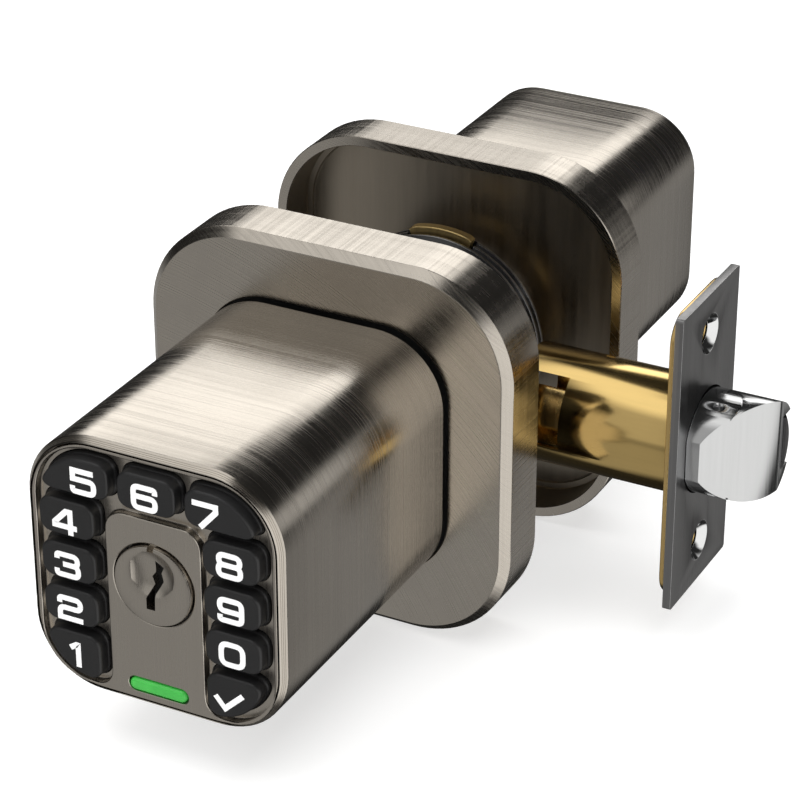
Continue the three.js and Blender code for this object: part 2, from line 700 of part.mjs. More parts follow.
function clutchDog() {
  const carriage = block(
    [-DOG_WIDTH / 2, DOG_WIDTH / 2],
    [dogFront, dogFront + DOG_LENGTH],
    [motorRise - DOG_WIDTH / 2, motorRise + DOG_WIDTH / 2],
  );
  const toothTop = couplerRadius - SLACK;
  const toothBottom = toothTop - COUPLER_NOTCH_DEPTH + GAP;
  const neck = block(
    [-DOG_TOOTH_WIDTH / 2, DOG_TOOTH_WIDTH / 2],
    [dogFront, dogFront + DOG_LENGTH],
    [toothBottom, motorRise],
  );
  const tooth = block(
    [-DOG_TOOTH_WIDTH / 2, DOG_TOOTH_WIDTH / 2],
    [dogFront, dogToothEnd],
    [toothBottom, toothTop],
  );
  const bore = clutchRod(CLUTCH_SCREW_RADIUS + GAP, dogFront - 1, dogFront + DOG_LENGTH + 1);
  return cut(join(carriage, neck, tooth), bore);
}

function buildOutsideKnob() {
  const knob = new THREE.Group();
  const shell = knobShell(KNOB_SIDE, KNOB_CORNER, outsideKnobRear, knobFace, FACE_THICKNESS);
  addMesh(knob, "outside_knob_shell", shell, nickel());
  addMesh(knob, "keypad_face_plate", facePlate(), nickel());
  addMesh(knob, "keypad_membrane", membrane(), rubber());
  addMesh(knob, "circuit_board", innerSheet(BOARD_MARGIN, boardFront, boardBack), boardGreen());
  const lightBody = prism(lightOutline(0), knobFace - LIGHT_PROUD, boardFront - GAP);
  addMesh(knob, "status_light_lens", lightBody, greenLens());
  addMesh(knob, "core_frame", coreFrame(), blackPlastic());
  addMesh(knob, "cylinder_housing", cylinderHousing(), steel());
  addMesh(knob, "clutch_motor", clutchMotor(), steel());
  addMesh(knob, "clutch_screw", clutchRod(CLUTCH_SCREW_RADIUS, screwFront, screwBack), brass());
  addMesh(knob, "clutch_dog", clutchDog(), steel());
  const baseFront = outsideRearPlate - REAR_PLATE_THICKNESS;
  const tubeEnd = hubOutside - SLACK;
  const bore = rodY(shankBore, baseFront - 1, tubeEnd + 1);
  const base = knobBase(KNOB_SIDE, KNOB_CORNER, outsideRearPlate, baseFront, tubeEnd, bore);
  addMesh(knob, "outside_knob_base", base, steel());
  const place = bossPlace(KNOB_SIDE, KNOB_CORNER);
  const screw = crossScrew(
    SMALL_SCREW_RADIUS,
    SMALL_SCREW_HEAD,
    SMALL_SCREW_HEAD_HEIGHT,
    SMALL_SCREW_LENGTH,
  );
  [-1, 1].forEach((sign, i) => {
    const at = [sign * place, outsideRearPlate + GAP, sign * place];
    addMesh(knob, `outside_knob_screw_${i + 1}`, reversed(screw), steel(), at);
  });
  return knob;
}

function buildKeys() {
  const keys = new THREE.Group();
  for (const [name, box] of Object.entries(keyBoxes)) {
    const [x, z] = [(box[0] + box[1]) / 2, (box[2] + box[3]) / 2];
    const atOrigin = keySolid(box).translate([-x, 0, -z]);
    addMesh(keys, name, atOrigin, rubber(), [x, 0, z]);
  }
  return keys;
}

function buildPlug() {
  const plug = new THREE.Group();
  addMesh(plug, "key_plug", keyPlug(), nickel());
  const plugEnd = knobFace - PLUG_HEAD_PROUD + PLUG_LENGTH;
  const tail = block(
    [-TAILPIECE_WIDTH / 2, TAILPIECE_WIDTH / 2],
    [plugEnd + GAP, couplerFront + COUPLER_THICKNESS / 2],
    [-TAILPIECE_THICKNESS / 2, TAILPIECE_THICKNESS / 2],
  );
  addMesh(plug, "tailpiece", tail, steel());
  return plug;
}

// ---- Rosettes and chassis ----------------------------------------------------------------
function outsideRosette() {
  const outer = roundedSquare(ROSETTE_SIDE, ROSETTE_CORNER);
  const inner = roundedSquare(ROSETTE_SIDE - 2 * ROSETTE_WALL, ROSETTE_CORNER - ROSETTE_WALL);
  const cup = cut(
    prismEdgeLow(outer, outsideFace, outsideRim, ROSETTE_CHAMFER),
    prism(inner, outsideFace + ROSETTE_WALL, outsideRim + OVERRUN),
  );
  const opening = roundedSquare(KNOB_SIDE, KNOB_CORNER);
  const wide = roundedSquare(KNOB_SIDE + 2 * OPENING_EDGE, KNOB_CORNER + OPENING_EDGE);
  const through = prism(opening, outsideFace - OVERRUN, outsideFace + ROSETTE_WALL + OVERRUN);
  const mouth = prismEdgeHigh(
    wide,
    outsideFace - OVERRUN,
    outsideFace + OPENING_EDGE,
    OPENING_EDGE,
  );
  return cut(cup, through, mouth);
}

function rosetteLiner() {
  const front = outsideFace + ROSETTE_WALL + GAP;
  const side = KNOB_SIDE + 2 * LINER_MARGIN;
  const plate = prism(roundedSquare(side, KNOB_CORNER + LINER_MARGIN), front, front + LINER_THICKNESS);
  return cut(plate, rodY(SHANK_RADIUS + SLACK, front - 1, front + LINER_THICKNESS + 1));
}

function insideRosette() {
  const outer = roundedSquare(ROSETTE_SIDE, ROSETTE_CORNER);
  const inner = roundedSquare(ROSETTE_SIDE - 2 * ROSETTE_WALL, ROSETTE_CORNER - ROSETTE_WALL);
  return cut(
    prismEdgeHigh(outer, insideRim, insideFace, ROSETTE_CHAMFER),
    prism(inner, insideRim - OVERRUN, insideFace - ROSETTE_WALL),
    rodY(SHANK_RADIUS + SLACK, insideRim, insideFace + OVERRUN),
  );
}

// A spring catch that stands up through the hub's rim.
function roseCatch(grow) {
  const [back, front] = [hubInside - CATCH_INSET, hubInside - CATCH_INSET - CATCH_THICKNESS];
  const ring = ringY(
    catchRadius + grow,
    catchRadius - CATCH_HEIGHT - grow,
    front - grow,
    back + grow,
  );
  const half = CATCH_WIDTH / 2 + grow;
  return ring.intersect(block([-half, half], [front - 1, back + 1], [0, catchRadius + 2]));
}

function hub() {
  const profile = [[0, hubOutside]];
  const ribsStart = hubInside - HUB_RIBS * HUB_RIB_PITCH;
  const plain = HUB_RADIUS - HUB_RIB_DEPTH;
  profile.push([plain, hubOutside], [plain, ribsStart]);
  for (let rib = 0; rib < HUB_RIBS; rib += 1) {
    const start = ribsStart + rib * HUB_RIB_PITCH;
    profile.push([HUB_RADIUS, start + HUB_RIB_PITCH * 0.5]);
    profile.push([HUB_RADIUS, start + HUB_RIB_PITCH * 0.75]);
    profile.push([plain, start + HUB_RIB_PITCH]);
  }
  profile.push([0, hubInside]);
  const bore = HUB_RADIUS - HUB_WALL;
  const window = block(
    [-HUB_RADIUS - 1, HUB_RADIUS + 1],
    [-tubeRadius - HUB_WINDOW_MARGIN, tubeRadius + HUB_WINDOW_MARGIN],
    [-HUB_WINDOW_HEIGHT / 2, HUB_WINDOW_HEIGHT / 2],
  );
  const hollow = rodY(bore, hubOutside - 1, hubInside + 1);
  return cut(turned(profile), hollow, window, roseCatch(GAP));
}

function endPlate(y0, y1) {
  const disc = rodY(HUB_RADIUS - HUB_WALL - GAP, y0, y1);
  const holes = [-1, 1].map((sign) =>
    rodY(MOUNTING_SCREW_RADIUS + GAP, y0 - 1, y1 + 1, 0, sign * mountingScrewOffset, SMALL_ROUND_STEPS),
  );
  const spindleHole = rodY(SPINDLE_SIDE / Math.SQRT2 + SLACK, y0 - 1, y1 + 1);
  return cut(disc, spindleHole, ...holes);
}

function returnSpring(start) {
  const radius = SHANK_RADIUS + RETURN_SPRING_MARGIN + WIRE_RADIUS;
  const wire = coil(radius, RETURN_SPRING_PITCH, RETURN_SPRING_TURNS, WIRE_RADIUS);
  return solid(wire.translate(0, start, 0));
}

function buildDoorParts() {
  const door = new THREE.Group();
  addMesh(door, "outside_rosette", outsideRosette(), nickel());
  addMesh(door, "rosette_liner", rosetteLiner(), blackPlastic());
  addMesh(door, "inside_rosette", insideRosette(), nickel());
  addMesh(door, "chassis_hub", hub(), blackMetal());
  addMesh(door, "rose_catch", roseCatch(0), brass());
  const insidePlateEnd = hubInside - END_PLATE_INSET;
  const outsidePlateStart = hubOutside + GAP;
  const outsidePlate = endPlate(outsidePlateStart, outsidePlateStart + END_PLATE_THICKNESS);
  addMesh(door, "chassis_plate_outside", outsidePlate, steel());
  const insidePlate = endPlate(insidePlateEnd - END_PLATE_THICKNESS, insidePlateEnd);
  addMesh(door, "chassis_plate_inside", insidePlate, steel());
  const screwLength = insidePlateEnd + GAP - outsidePlateStart;
  const screw = crossScrew(
    MOUNTING_SCREW_RADIUS,
    MOUNTING_SCREW_HEAD,
    MOUNTING_SCREW_HEAD_HEIGHT,
    screwLength,
  );
  [-1, 1].forEach((sign, i) => {
    const at = [0, insidePlateEnd + GAP, sign * mountingScrewOffset];
    addMesh(door, `mounting_screw_${i + 1}`, reversed(screw), steel(), at);
  });
  const bore = SHANK_RADIUS + GAP;
  const outsideEnd = hubOutside - SLACK;
  const outsideBearing = ringY(bore + BEARING_WALL, bore, outsideEnd - BEARING_LENGTH, outsideEnd);
  addMesh(door, "outside_bearing", outsideBearing, brass());
  const insideEnd = hubInside + SLACK;
  const insideBearing = ringY(bore + BEARING_WALL, bore, insideEnd, insideEnd + BEARING_LENGTH);
  addMesh(door, "inside_bearing", insideBearing, brass());
  const outsideSpring = outsideFace + ROSETTE_WALL + LINER_THICKNESS + 2 * GAP + WIRE_RADIUS;
  addMesh(door, "outside_return_spring", returnSpring(outsideSpring), steel());
  return door;
}

// ---- Latch -------------------------------------------------------------------------------
function latchTube() {
  const ends = [springSeatX - TUBE_BEHIND_SEAT, backPlateFront];
  const tube = cut(
    rodX(tubeRadius, ...ends),
    rodX(tubeRadius - TUBE_WALL, ends[0] - 1, ends[1] + 1),
  );
  const windowEnd = springSeatX - SLACK;
  const window = block(
    [windowEnd - TUBE_WINDOW_LENGTH, windowEnd],
    [-tubeRadius - 1, 0],
    [TUBE_WINDOW_BOTTOM, TUBE_WINDOW_TOP],
  );
  return join(cut(tube, window), springSeat());
}

function plateScrewHoles(radius, x0, x1) {
  return [-1, 1].map((sign) =>
    rodX(radius, x0, x1, 0, (sign * PLATE_SCREW_PITCH) / 2, SMALL_ROUND_STEPS),
  );
}

function backPlate() {
  const halfWidth = FACEPLATE_WIDTH / 2 - BACK_PLATE_MARGIN;
  const halfHeight = FACEPLATE_HEIGHT / 2 - BACK_PLATE_MARGIN;
  const plate = block(
    [backPlateBack, backPlateFront],
    [-halfWidth, halfWidth],
    [-halfHeight, halfHeight],
  );
  const through = [backPlateBack - 1, backPlateFront + 1];
  const screwHoles = plateScrewHoles(PLATE_SCREW_HOLE, ...through);
  return cut(plate, rodX(tubeRadius + GAP, ...through), ...screwHoles);
}

// The bolt's section grown by a clearance: a circle with a flat on its outside face.
function boltSection(grow, x0, x1) {
  const flat = block(
    [x0 - 1, x1 + 1],
    [-BOLT_RADIUS * 2, -boltFlat - grow],
    [-BOLT_RADIUS * 2, BOLT_RADIUS * 2],
  );
  return cut(rodX(BOLT_RADIUS + grow, x0, x1), flat);
}

function faceplate() {
  const [halfWidth, halfHeight] = [FACEPLATE_WIDTH / 2, FACEPLATE_HEIGHT / 2];
  const plate = block([faceplateBack, BACKSET], [-halfWidth, halfWidth], [-halfHeight, halfHeight]);
  const through = [faceplateBack - 1, BACKSET + 1];
  const sinks = [-1, 1].map((sign) => {
    const depth = PLATE_COUNTERSINK - PLATE_SCREW_HOLE;
    const cone = turnedAlongX(
      [
        [0, BACKSET - depth],
        [PLATE_SCREW_HOLE, BACKSET - depth],
        [PLATE_COUNTERSINK + 1, BACKSET + 1],
        [0, BACKSET + 1],
      ],
      SMALL_ROUND_STEPS,
    );
    return cone.translate([0, 0, (sign * PLATE_SCREW_PITCH) / 2]);
  });
  return cut(
    plate,
    boltSection(GAP, ...through),
    ...plateScrewHoles(PLATE_SCREW_HOLE, ...through),
    ...sinks,
  );
}

// Everything that the bolt's curved bevel takes away, as an outline in x and y.
function bevelCutter() {
  const start = [BACKSET + BOLT_BEVEL_START, -boltFlat];
  const end = [boltTip, BOLT_NOSE_Y];
  const middle = [
    (start[0] + end[0]) / 2 + BOLT_BEVEL_SAG * Math.SQRT1_2 * 2,
    (start[1] + end[1]) / 2 - BOLT_BEVEL_SAG * Math.SQRT1_2 * 2,
  ];
  const shape = new THREE.Shape();
  shape.moveTo(...start);
  shape.quadraticCurveTo(...middle, ...end);
  shape.lineTo(end[0] + OVERRUN, end[1] + OVERRUN / 2);
  shape.lineTo(end[0] + OVERRUN, -BOLT_RADIUS * 1.5);
  shape.lineTo(start[0] - OVERRUN / 4, -BOLT_RADIUS * 1.5);
  shape.closePath();
  const tall = 3 * BOLT_RADIUS;
  const geometry = new THREE.ExtrudeGeometry(shape, {
    depth: tall,
    curveSegments: CORNER_STEPS,
    bevelEnabled: false,
  });
  return solid(geometry.translate(0, 0, -tall / 2));
}

function plungerSpace(grow, x0, x1) {
  const half = PLUNGER_WIDTH / 2 + grow;
  return block([x0, x1], [PLUNGER_Y - grow, BOLT_RADIUS * 2], [-half, half]);
}

const pinX = BACKSET + BOLT_PIN_FORWARD;

function boltHead() {
  const tailEnd = boltRear + BOLT_LENGTH / 3;
  return cut(
    boltSection(0, boltRear, boltTip),
    bevelCutter(),
    plungerSpace(GAP, boltRear - 1, boltTip + 1),
    rodZ(BOLT_PIN_RADIUS + GAP, -BOLT_RADIUS - 1, BOLT_RADIUS + 1, pinX, BOLT_PIN_Y),
    block(
      [boltRear - 1, tailEnd],
      [-TAIL_THICKNESS / 2 - GAP, TAIL_THICKNESS / 2 + GAP],
      [-TAIL_WIDTH / 2 - GAP, TAIL_WIDTH / 2 + GAP],
    ),
  );
}

function plunger() {
  const tip = boltTip + PLUNGER_PROUD;
  const rod = turnedAlongX([
    [0, tip - PLUNGER_LENGTH],
    [BOLT_RADIUS - GAP, tip - PLUNGER_LENGTH],
    [BOLT_RADIUS - GAP, tip - 2.5],
    [BOLT_RADIUS - 1.3, tip - 0.7],
    [BOLT_RADIUS - 3, tip],
    [0, tip],
  ]);
  return rod.intersect(plungerSpace(0, tip - PLUNGER_LENGTH - 1, tip + 1));
}

// A wall across the tube, open for the bolt's tail and for the plunger.
function springSeat() {
  const seatEnd = springSeatX + SPRING_SEAT_THICKNESS;
  const seat = rodX(tubeRadius - TUBE_WALL / 2, springSeatX, seatEnd);
  const slot = block(
    [springSeatX - 1, seatEnd + 1],
    [-TAIL_THICKNESS / 2 - SLACK, TAIL_THICKNESS / 2 + SLACK],
    [-TAIL_WIDTH / 2 - SLACK, TAIL_WIDTH / 2 + SLACK],
  );
  return cut(seat, slot, plungerSpace(SLACK, springSeatX - 1, seatEnd + 1));
}

function boltSpring() {
  const start = springSeatX + SPRING_SEAT_THICKNESS + GAP + WIRE_RADIUS;
  const pitch = (boltRear - GAP - WIRE_RADIUS - start) / BOLT_SPRING_TURNS;
  const wire = coil(BOLT_SPRING_RADIUS, pitch, BOLT_SPRING_TURNS, WIRE_RADIUS);
  return solid(wire.rotateZ(-Math.PI / 2).translate(start, 0, 0));
}

const tailStart = RETRACTOR_END - 3;

// The bar that pulls the bolt, with a shoe for the cam under the spindle.
function retractor() {
  const inner = CAM_THICKNESS / 2 + SLACK;
  const outer = inner + RETRACTOR_RAIL;
  const shoeFace = -CAM_ARM_WIDTH / 2 - SLACK;
  const shoe = [shoeFace - SHOE_THICKNESS, shoeFace];
  const height = [RETRACTOR_BOTTOM, RETRACTOR_TOP];
  const riser = block(
    [tailStart, RETRACTOR_END],
    [-outer, outer],
    [RETRACTOR_BOTTOM, TAIL_WIDTH / 2],
  );
  const tailEnd = boltRear + BOLT_LENGTH / 3 - GAP;
  const tail = block(
    [tailStart, tailEnd],
    [-TAIL_THICKNESS / 2, TAIL_THICKNESS / 2],
    [-TAIL_WIDTH / 2, TAIL_WIDTH / 2],
  );
  // A broad vane that fills the tube behind its window.
  const vaneEnd = springSeatX - SLACK;
  const vaneStart = vaneEnd - VANE_LENGTH;
  const vane = block(
    [vaneStart, vaneEnd],
    [-VANE_REACH, -TAIL_THICKNESS / 4],
    [-VANE_HALF_HEIGHT, VANE_HALF_HEIGHT],
  ).intersect(rodX(tubeRadius - TUBE_WALL - SLACK, vaneStart - 1, vaneEnd + 1));
  return join(
    vane,
    block(shoe, [-outer, outer], height),
    block([shoe[0], RETRACTOR_END], [inner, outer], height),
    block([shoe[0], RETRACTOR_END], [-outer, -inner], height),
    riser,
    tail,
  );
}

function buildLatch() {
  const latch = new THREE.Group();
  addMesh(latch, "latch_tube", latchTube(), brass());
  addMesh(latch, "latch_back_plate", backPlate(), brass());
  addMesh(latch, "latch_faceplate", faceplate(), darkSteel());
  addMesh(latch, "bolt_spring", boltSpring(), steel());
  addMesh(latch, "bolt_head", boltHead(), chrome());
  const pinHalf = Math.sqrt(BOLT_RADIUS ** 2 - BOLT_PIN_Y ** 2) - SLACK;
  addMesh(latch, "bolt_pin", rodZ(BOLT_PIN_RADIUS, -pinHalf, pinHalf, pinX, BOLT_PIN_Y), steel());
  addMesh(latch, "retractor", retractor(), brass());
  addMesh(latch, "deadlatch_plunger", plunger(), darkSteel());
  return latch;
}

// ---- Inside knob with the spindle --------------------------------------------------------
function square(side, y0, y1) {
  return block([-side / 2, side / 2], [y0, y1], [-side / 2, side / 2]);
}

function coupler() {
  const back = couplerFront + COUPLER_THICKNESS;
  const recessEnd = couplerFront + COUPLER_THICKNESS - 1;
  const disc = cut(
    rodY(couplerRadius, couplerFront, back),
    rodY(COUPLER_RECESS, couplerFront - 1, recessEnd),
  );
  const notch = new THREE.BoxGeometry(
    COUPLER_NOTCH_WIDTH,
    COUPLER_THICKNESS,
    COUPLER_NOTCH_DEPTH * 2,
  );
  notch.translate(0, couplerFront, couplerRadius);
  const notches = Array.from({ length: COUPLER_NOTCHES }, (_, i) =>
    solid(notch.clone().rotateY((2 * Math.PI * i) / COUPLER_NOTCHES)),
  );
  return cut(disc, ...notches);
}

function latchCam() {
  const [front, back] = [-CAM_THICKNESS / 2, CAM_THICKNESS / 2];
  const arm = block([-CAM_ARM_WIDTH / 2, CAM_ARM_WIDTH / 2], [front, back], [-CAM_ARM, 0]);
  const hole = square(SPINDLE_SIDE + 2 * GAP, front - 1, back + 1);
  return cut(join(rodY(CAM_HUB_RADIUS, front, back), arm), hole);
}

function batteryHolder(start, end) {
  const side = INSIDE_KNOB_SIDE - 2 * (KNOB_WALL + HOLDER_MARGIN);
  const corner = INSIDE_KNOB_CORNER - KNOB_WALL - HOLDER_MARGIN;
  const body = prism(roundedSquare(side, corner), start, end);
  const bays = cellPlaces().map(([x, z]) =>
    rodY(CELL_RADIUS + GAP, start + HOLDER_FLOOR, end + 1, x, z, SMALL_ROUND_STEPS),
  );
  const place = bossPlace(INSIDE_KNOB_SIDE, INSIDE_KNOB_CORNER);
  const corners = [-1, 1].map((sign) =>
    rodY(BOSS_RADIUS + GAP, start - 1, end + 1, sign * place, sign * place, SMALL_ROUND_STEPS),
  );
  const screwHole = rodY(
    COVER_SCREW_RADIUS + GAP,
    end - COVER_SCREW_HOLE,
    end + 1,
    0,
    0,
    SMALL_ROUND_STEPS,
  );
  return cut(body, ...bays, ...corners, screwHole);
}

function cellPlaces() {
  const c = CELL_OFFSET;
  return [
    [-c, c],
    [c, c],
    [c, -c],
    [-c, -c],
  ];
}

function cell() {
  const shoulder = CELL_LENGTH - CELL_NUB_LENGTH;
  return turned(
    [
      [0, 0],
      [CELL_RADIUS, 0],
      [CELL_RADIUS, shoulder],
      [CELL_NUB_RADIUS, shoulder],
      [CELL_NUB_RADIUS, CELL_LENGTH],
      [0, CELL_LENGTH],
    ],
    SMALL_ROUND_STEPS,
  );
}

function buildInsideKnob() {
  const knob = new THREE.Group();
  const shell = knobShell(
    INSIDE_KNOB_SIDE,
    INSIDE_KNOB_CORNER,
    insideKnobRear,
    insideKnobEnd,
    COVER_THICKNESS,
  );
  addMesh(knob, "inside_knob_shell", shell, nickel());
  const baseEnd = insideRearPlate + REAR_PLATE_THICKNESS;
  const tubeEnd = hubInside + SLACK;
  const bore = join(
    rodY(shankBore, tubeEnd - 1, insideRearPlate),
    square(SPINDLE_SIDE + 2 * GAP, tubeEnd - 1, baseEnd + 1),
  );
  const base = knobBase(
    INSIDE_KNOB_SIDE,
    INSIDE_KNOB_CORNER,
    insideRearPlate,
    baseEnd,
    tubeEnd,
    bore,
  );
  addMesh(knob, "inside_knob_base", base, steel());
  const spindle = square(SPINDLE_SIDE, couplerFront + COUPLER_THICKNESS + GAP, baseEnd);
  addMesh(knob, "spindle", spindle, steel());
  addMesh(knob, "spindle_coupler", coupler(), steel());
  addMesh(knob, "latch_cam", latchCam(), steel());
  const holderStart = baseEnd + GAP;
  const coverInner = insideKnobEnd - COVER_THICKNESS;
  const holderEnd = coverInner - GAP;
  addMesh(knob, "battery_holder", batteryHolder(holderStart, holderEnd), blackPlastic());
  cellPlaces().forEach(([x, z], i) => {
    const at = [x, holderStart + HOLDER_FLOOR + GAP, z];
    addMesh(knob, `battery_cell_${i + 1}`, cell(), cellSleeve(), at);
  });
  const coverSide = INSIDE_KNOB_SIDE - 2 * (KNOB_LIP + GAP);
  const screwSeat = insideKnobEnd - COVER_SCREW_SINK;
  const cover = cut(
    prism(
      roundedSquare(coverSide, INSIDE_KNOB_CORNER - KNOB_LIP - GAP),
      coverInner,
      insideKnobEnd,
    ),
    rodY(COVER_SCREW_RADIUS + GAP, coverInner - 1, insideKnobEnd + 1, 0, 0, SMALL_ROUND_STEPS),
    rodY(COVER_SCREW_HEAD + GAP, screwSeat - GAP, insideKnobEnd + 1, 0, 0, SMALL_ROUND_STEPS),
  );
  addMesh(knob, "battery_cover", cover, nickel());
  const coverScrew = crossScrew(
    COVER_SCREW_RADIUS,
    COVER_SCREW_HEAD,
    COVER_SCREW_HEAD_HEIGHT,
    COVER_SCREW_LENGTH,
  );
  addMesh(knob, "battery_cover_screw", reversed(coverScrew), steel(), [0, screwSeat, 0]);
  const place = bossPlace(INSIDE_KNOB_SIDE, INSIDE_KNOB_CORNER);
  const screw = crossScrew(
    SMALL_SCREW_RADIUS,
    SMALL_SCREW_HEAD,
    SMALL_SCREW_HEAD_HEIGHT,
    SMALL_SCREW_LENGTH,
  );
  [-1, 1].forEach((sign, i) => {
    const at = [sign * place, insideRearPlate - GAP, sign * place];
    addMesh(knob, `inside_knob_screw_${i + 1}`, screw, steel(), at);
  });
  return knob;
}

const lock = new THREE.Group();
lock.add(
  buildDoorParts(),
  buildOutsideKnob(),
  buildKeys(),
  buildPlug(),
  buildLatch(),
  buildInsideKnob(),
);

export default lock;
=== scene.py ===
import math

import bpy
import bmesh
from mathutils import Matrix, Vector
from mathutils.geometry import tessellate_polygon


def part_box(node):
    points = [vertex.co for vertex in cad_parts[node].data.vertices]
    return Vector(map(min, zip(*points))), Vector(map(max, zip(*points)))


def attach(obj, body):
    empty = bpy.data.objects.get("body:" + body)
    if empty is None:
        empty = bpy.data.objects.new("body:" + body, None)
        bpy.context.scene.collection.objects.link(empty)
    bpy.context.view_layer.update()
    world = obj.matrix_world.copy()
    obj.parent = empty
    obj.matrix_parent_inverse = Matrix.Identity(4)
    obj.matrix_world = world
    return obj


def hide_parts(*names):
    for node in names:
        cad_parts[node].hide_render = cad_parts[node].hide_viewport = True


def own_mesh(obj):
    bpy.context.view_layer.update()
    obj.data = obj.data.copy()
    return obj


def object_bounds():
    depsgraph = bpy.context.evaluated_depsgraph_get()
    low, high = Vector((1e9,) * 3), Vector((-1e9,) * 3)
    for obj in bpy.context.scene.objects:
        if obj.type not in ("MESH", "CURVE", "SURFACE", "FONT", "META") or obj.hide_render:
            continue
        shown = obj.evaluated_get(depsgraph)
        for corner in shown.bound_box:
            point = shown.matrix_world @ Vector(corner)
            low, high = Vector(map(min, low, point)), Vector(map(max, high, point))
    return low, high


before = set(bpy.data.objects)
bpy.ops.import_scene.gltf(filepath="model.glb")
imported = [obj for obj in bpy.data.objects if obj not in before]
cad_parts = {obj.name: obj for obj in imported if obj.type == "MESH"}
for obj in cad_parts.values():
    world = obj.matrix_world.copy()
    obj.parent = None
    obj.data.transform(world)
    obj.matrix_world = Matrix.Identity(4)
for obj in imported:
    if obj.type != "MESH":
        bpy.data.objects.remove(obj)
cad_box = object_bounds()

MM = 0.001
TAU = 2 * math.pi


def cad(node):
    """The lowest and highest corners of a CAD node, in mm."""
    low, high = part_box(node)
    return low / MM, high / MM


# ---- Materials ---------------------------------------------------------------------------
class Nodes:
    """A small helper that adds shader nodes and links them."""

    def __init__(self, name):
        self.material = bpy.data.materials.new(name)
        self.material.use_nodes = True
        self.tree = self.material.node_tree
        self.shader = self.tree.nodes["Principled BSDF"]
        self.place = self.add("ShaderNodeTexCoord").outputs["Object"]

    def add(self, kind, **settings):
        node = self.tree.nodes.new(kind)
        for key, value in settings.items():
            setattr(node, key, value)
        return node

    def link(self, source, target):
        self.tree.links.new(source, target)

    def scaled(self, scale, source=None):
        """The position with each axis multiplied, so that a noise stretches along an axis."""
        node = self.add("ShaderNodeMapping")
        self.link(source or self.place, node.inputs["Vector"])
        node.inputs["Scale"].default_value = scale
        return node.outputs["Vector"]

    def noise(self, scale, detail=4.0, roughness=0.6, source=None, distortion=0.0):
        node = self.add("ShaderNodeTexNoise")
        self.link(self.scaled(scale, source), node.inputs["Vector"])
        node.inputs["Scale"].default_value = 1.0
        node.inputs["Detail"].default_value = detail
        node.inputs["Roughness"].default_value = roughness
        node.inputs["Distortion"].default_value = distortion
        return node.outputs["Fac"]

    def spread(self, value, low, high, from_low=0.3, from_high=0.7):
        """A value moved from one range to another, clamped."""
        node = self.add("ShaderNodeMapRange")
        self.link(value, node.inputs["Value"])
        node.inputs["From Min"].default_value = from_low
        node.inputs["From Max"].default_value = from_high
        node.inputs["To Min"].default_value = low
        node.inputs["To Max"].default_value = high
        return node.outputs["Result"]

    def math(self, operation, a, b=0.0):
        node = self.add("ShaderNodeMath", operation=operation)
        for socket, value in zip(node.inputs, (a, b)):
            if isinstance(value, (int, float)):
                socket.default_value = value
            else:
                self.link(value, socket)
        return node.outputs[0]

    def ramp(self, value, stops):
        node = self.add("ShaderNodeValToRGB")
        self.link(value, node.inputs["Fac"])
        ramp = node.color_ramp
        ramp.elements[0].position, ramp.elements[0].color = stops[0][0], (*stops[0][1], 1)
        ramp.elements[1].position, ramp.elements[1].color = stops[-1][0], (*stops[-1][1], 1)
        for position, colour in stops[1:-1]:
            ramp.elements.new(position).color = (*colour, 1)
        return node.outputs["Color"]

    def mix(self, factor, a, b):
        node = self.add("ShaderNodeMix", data_type="RGBA")
        self.link(factor, node.inputs["Factor"])
        for socket, value in ((node.inputs[6], a), (node.inputs[7], b)):
            if isinstance(value, tuple):
                socket.default_value = (*value, 1)
            else:
                self.link(value, socket)
        return node.outputs[2]

    def bump(self, height, strength, distance, normal=None):
        node = self.add("ShaderNodeBump")
        self.link(height, node.inputs["Height"])
        node.inputs["Strength"].default_value = strength
        node.inputs["Distance"].default_value = distance
        if normal:
            self.link(normal, node.inputs["Normal"])
        return node.outputs["Normal"]

    def done(self, colour=None, rough=None, normal=None, **fixed):
        for value, name in ((colour, "Base Color"), (rough, "Roughness"), (normal, "Normal")):
            if value is not None:
                self.link(value, self.shader.inputs[name])
        for name, value in fixed.items():
            self.shader.inputs[name.replace("_", " ")].default_value = value
        return self.material


ALONG = 12.0  # cycles per metre along a brush stroke
ACROSS = 2600.0  # cycles per metre across it


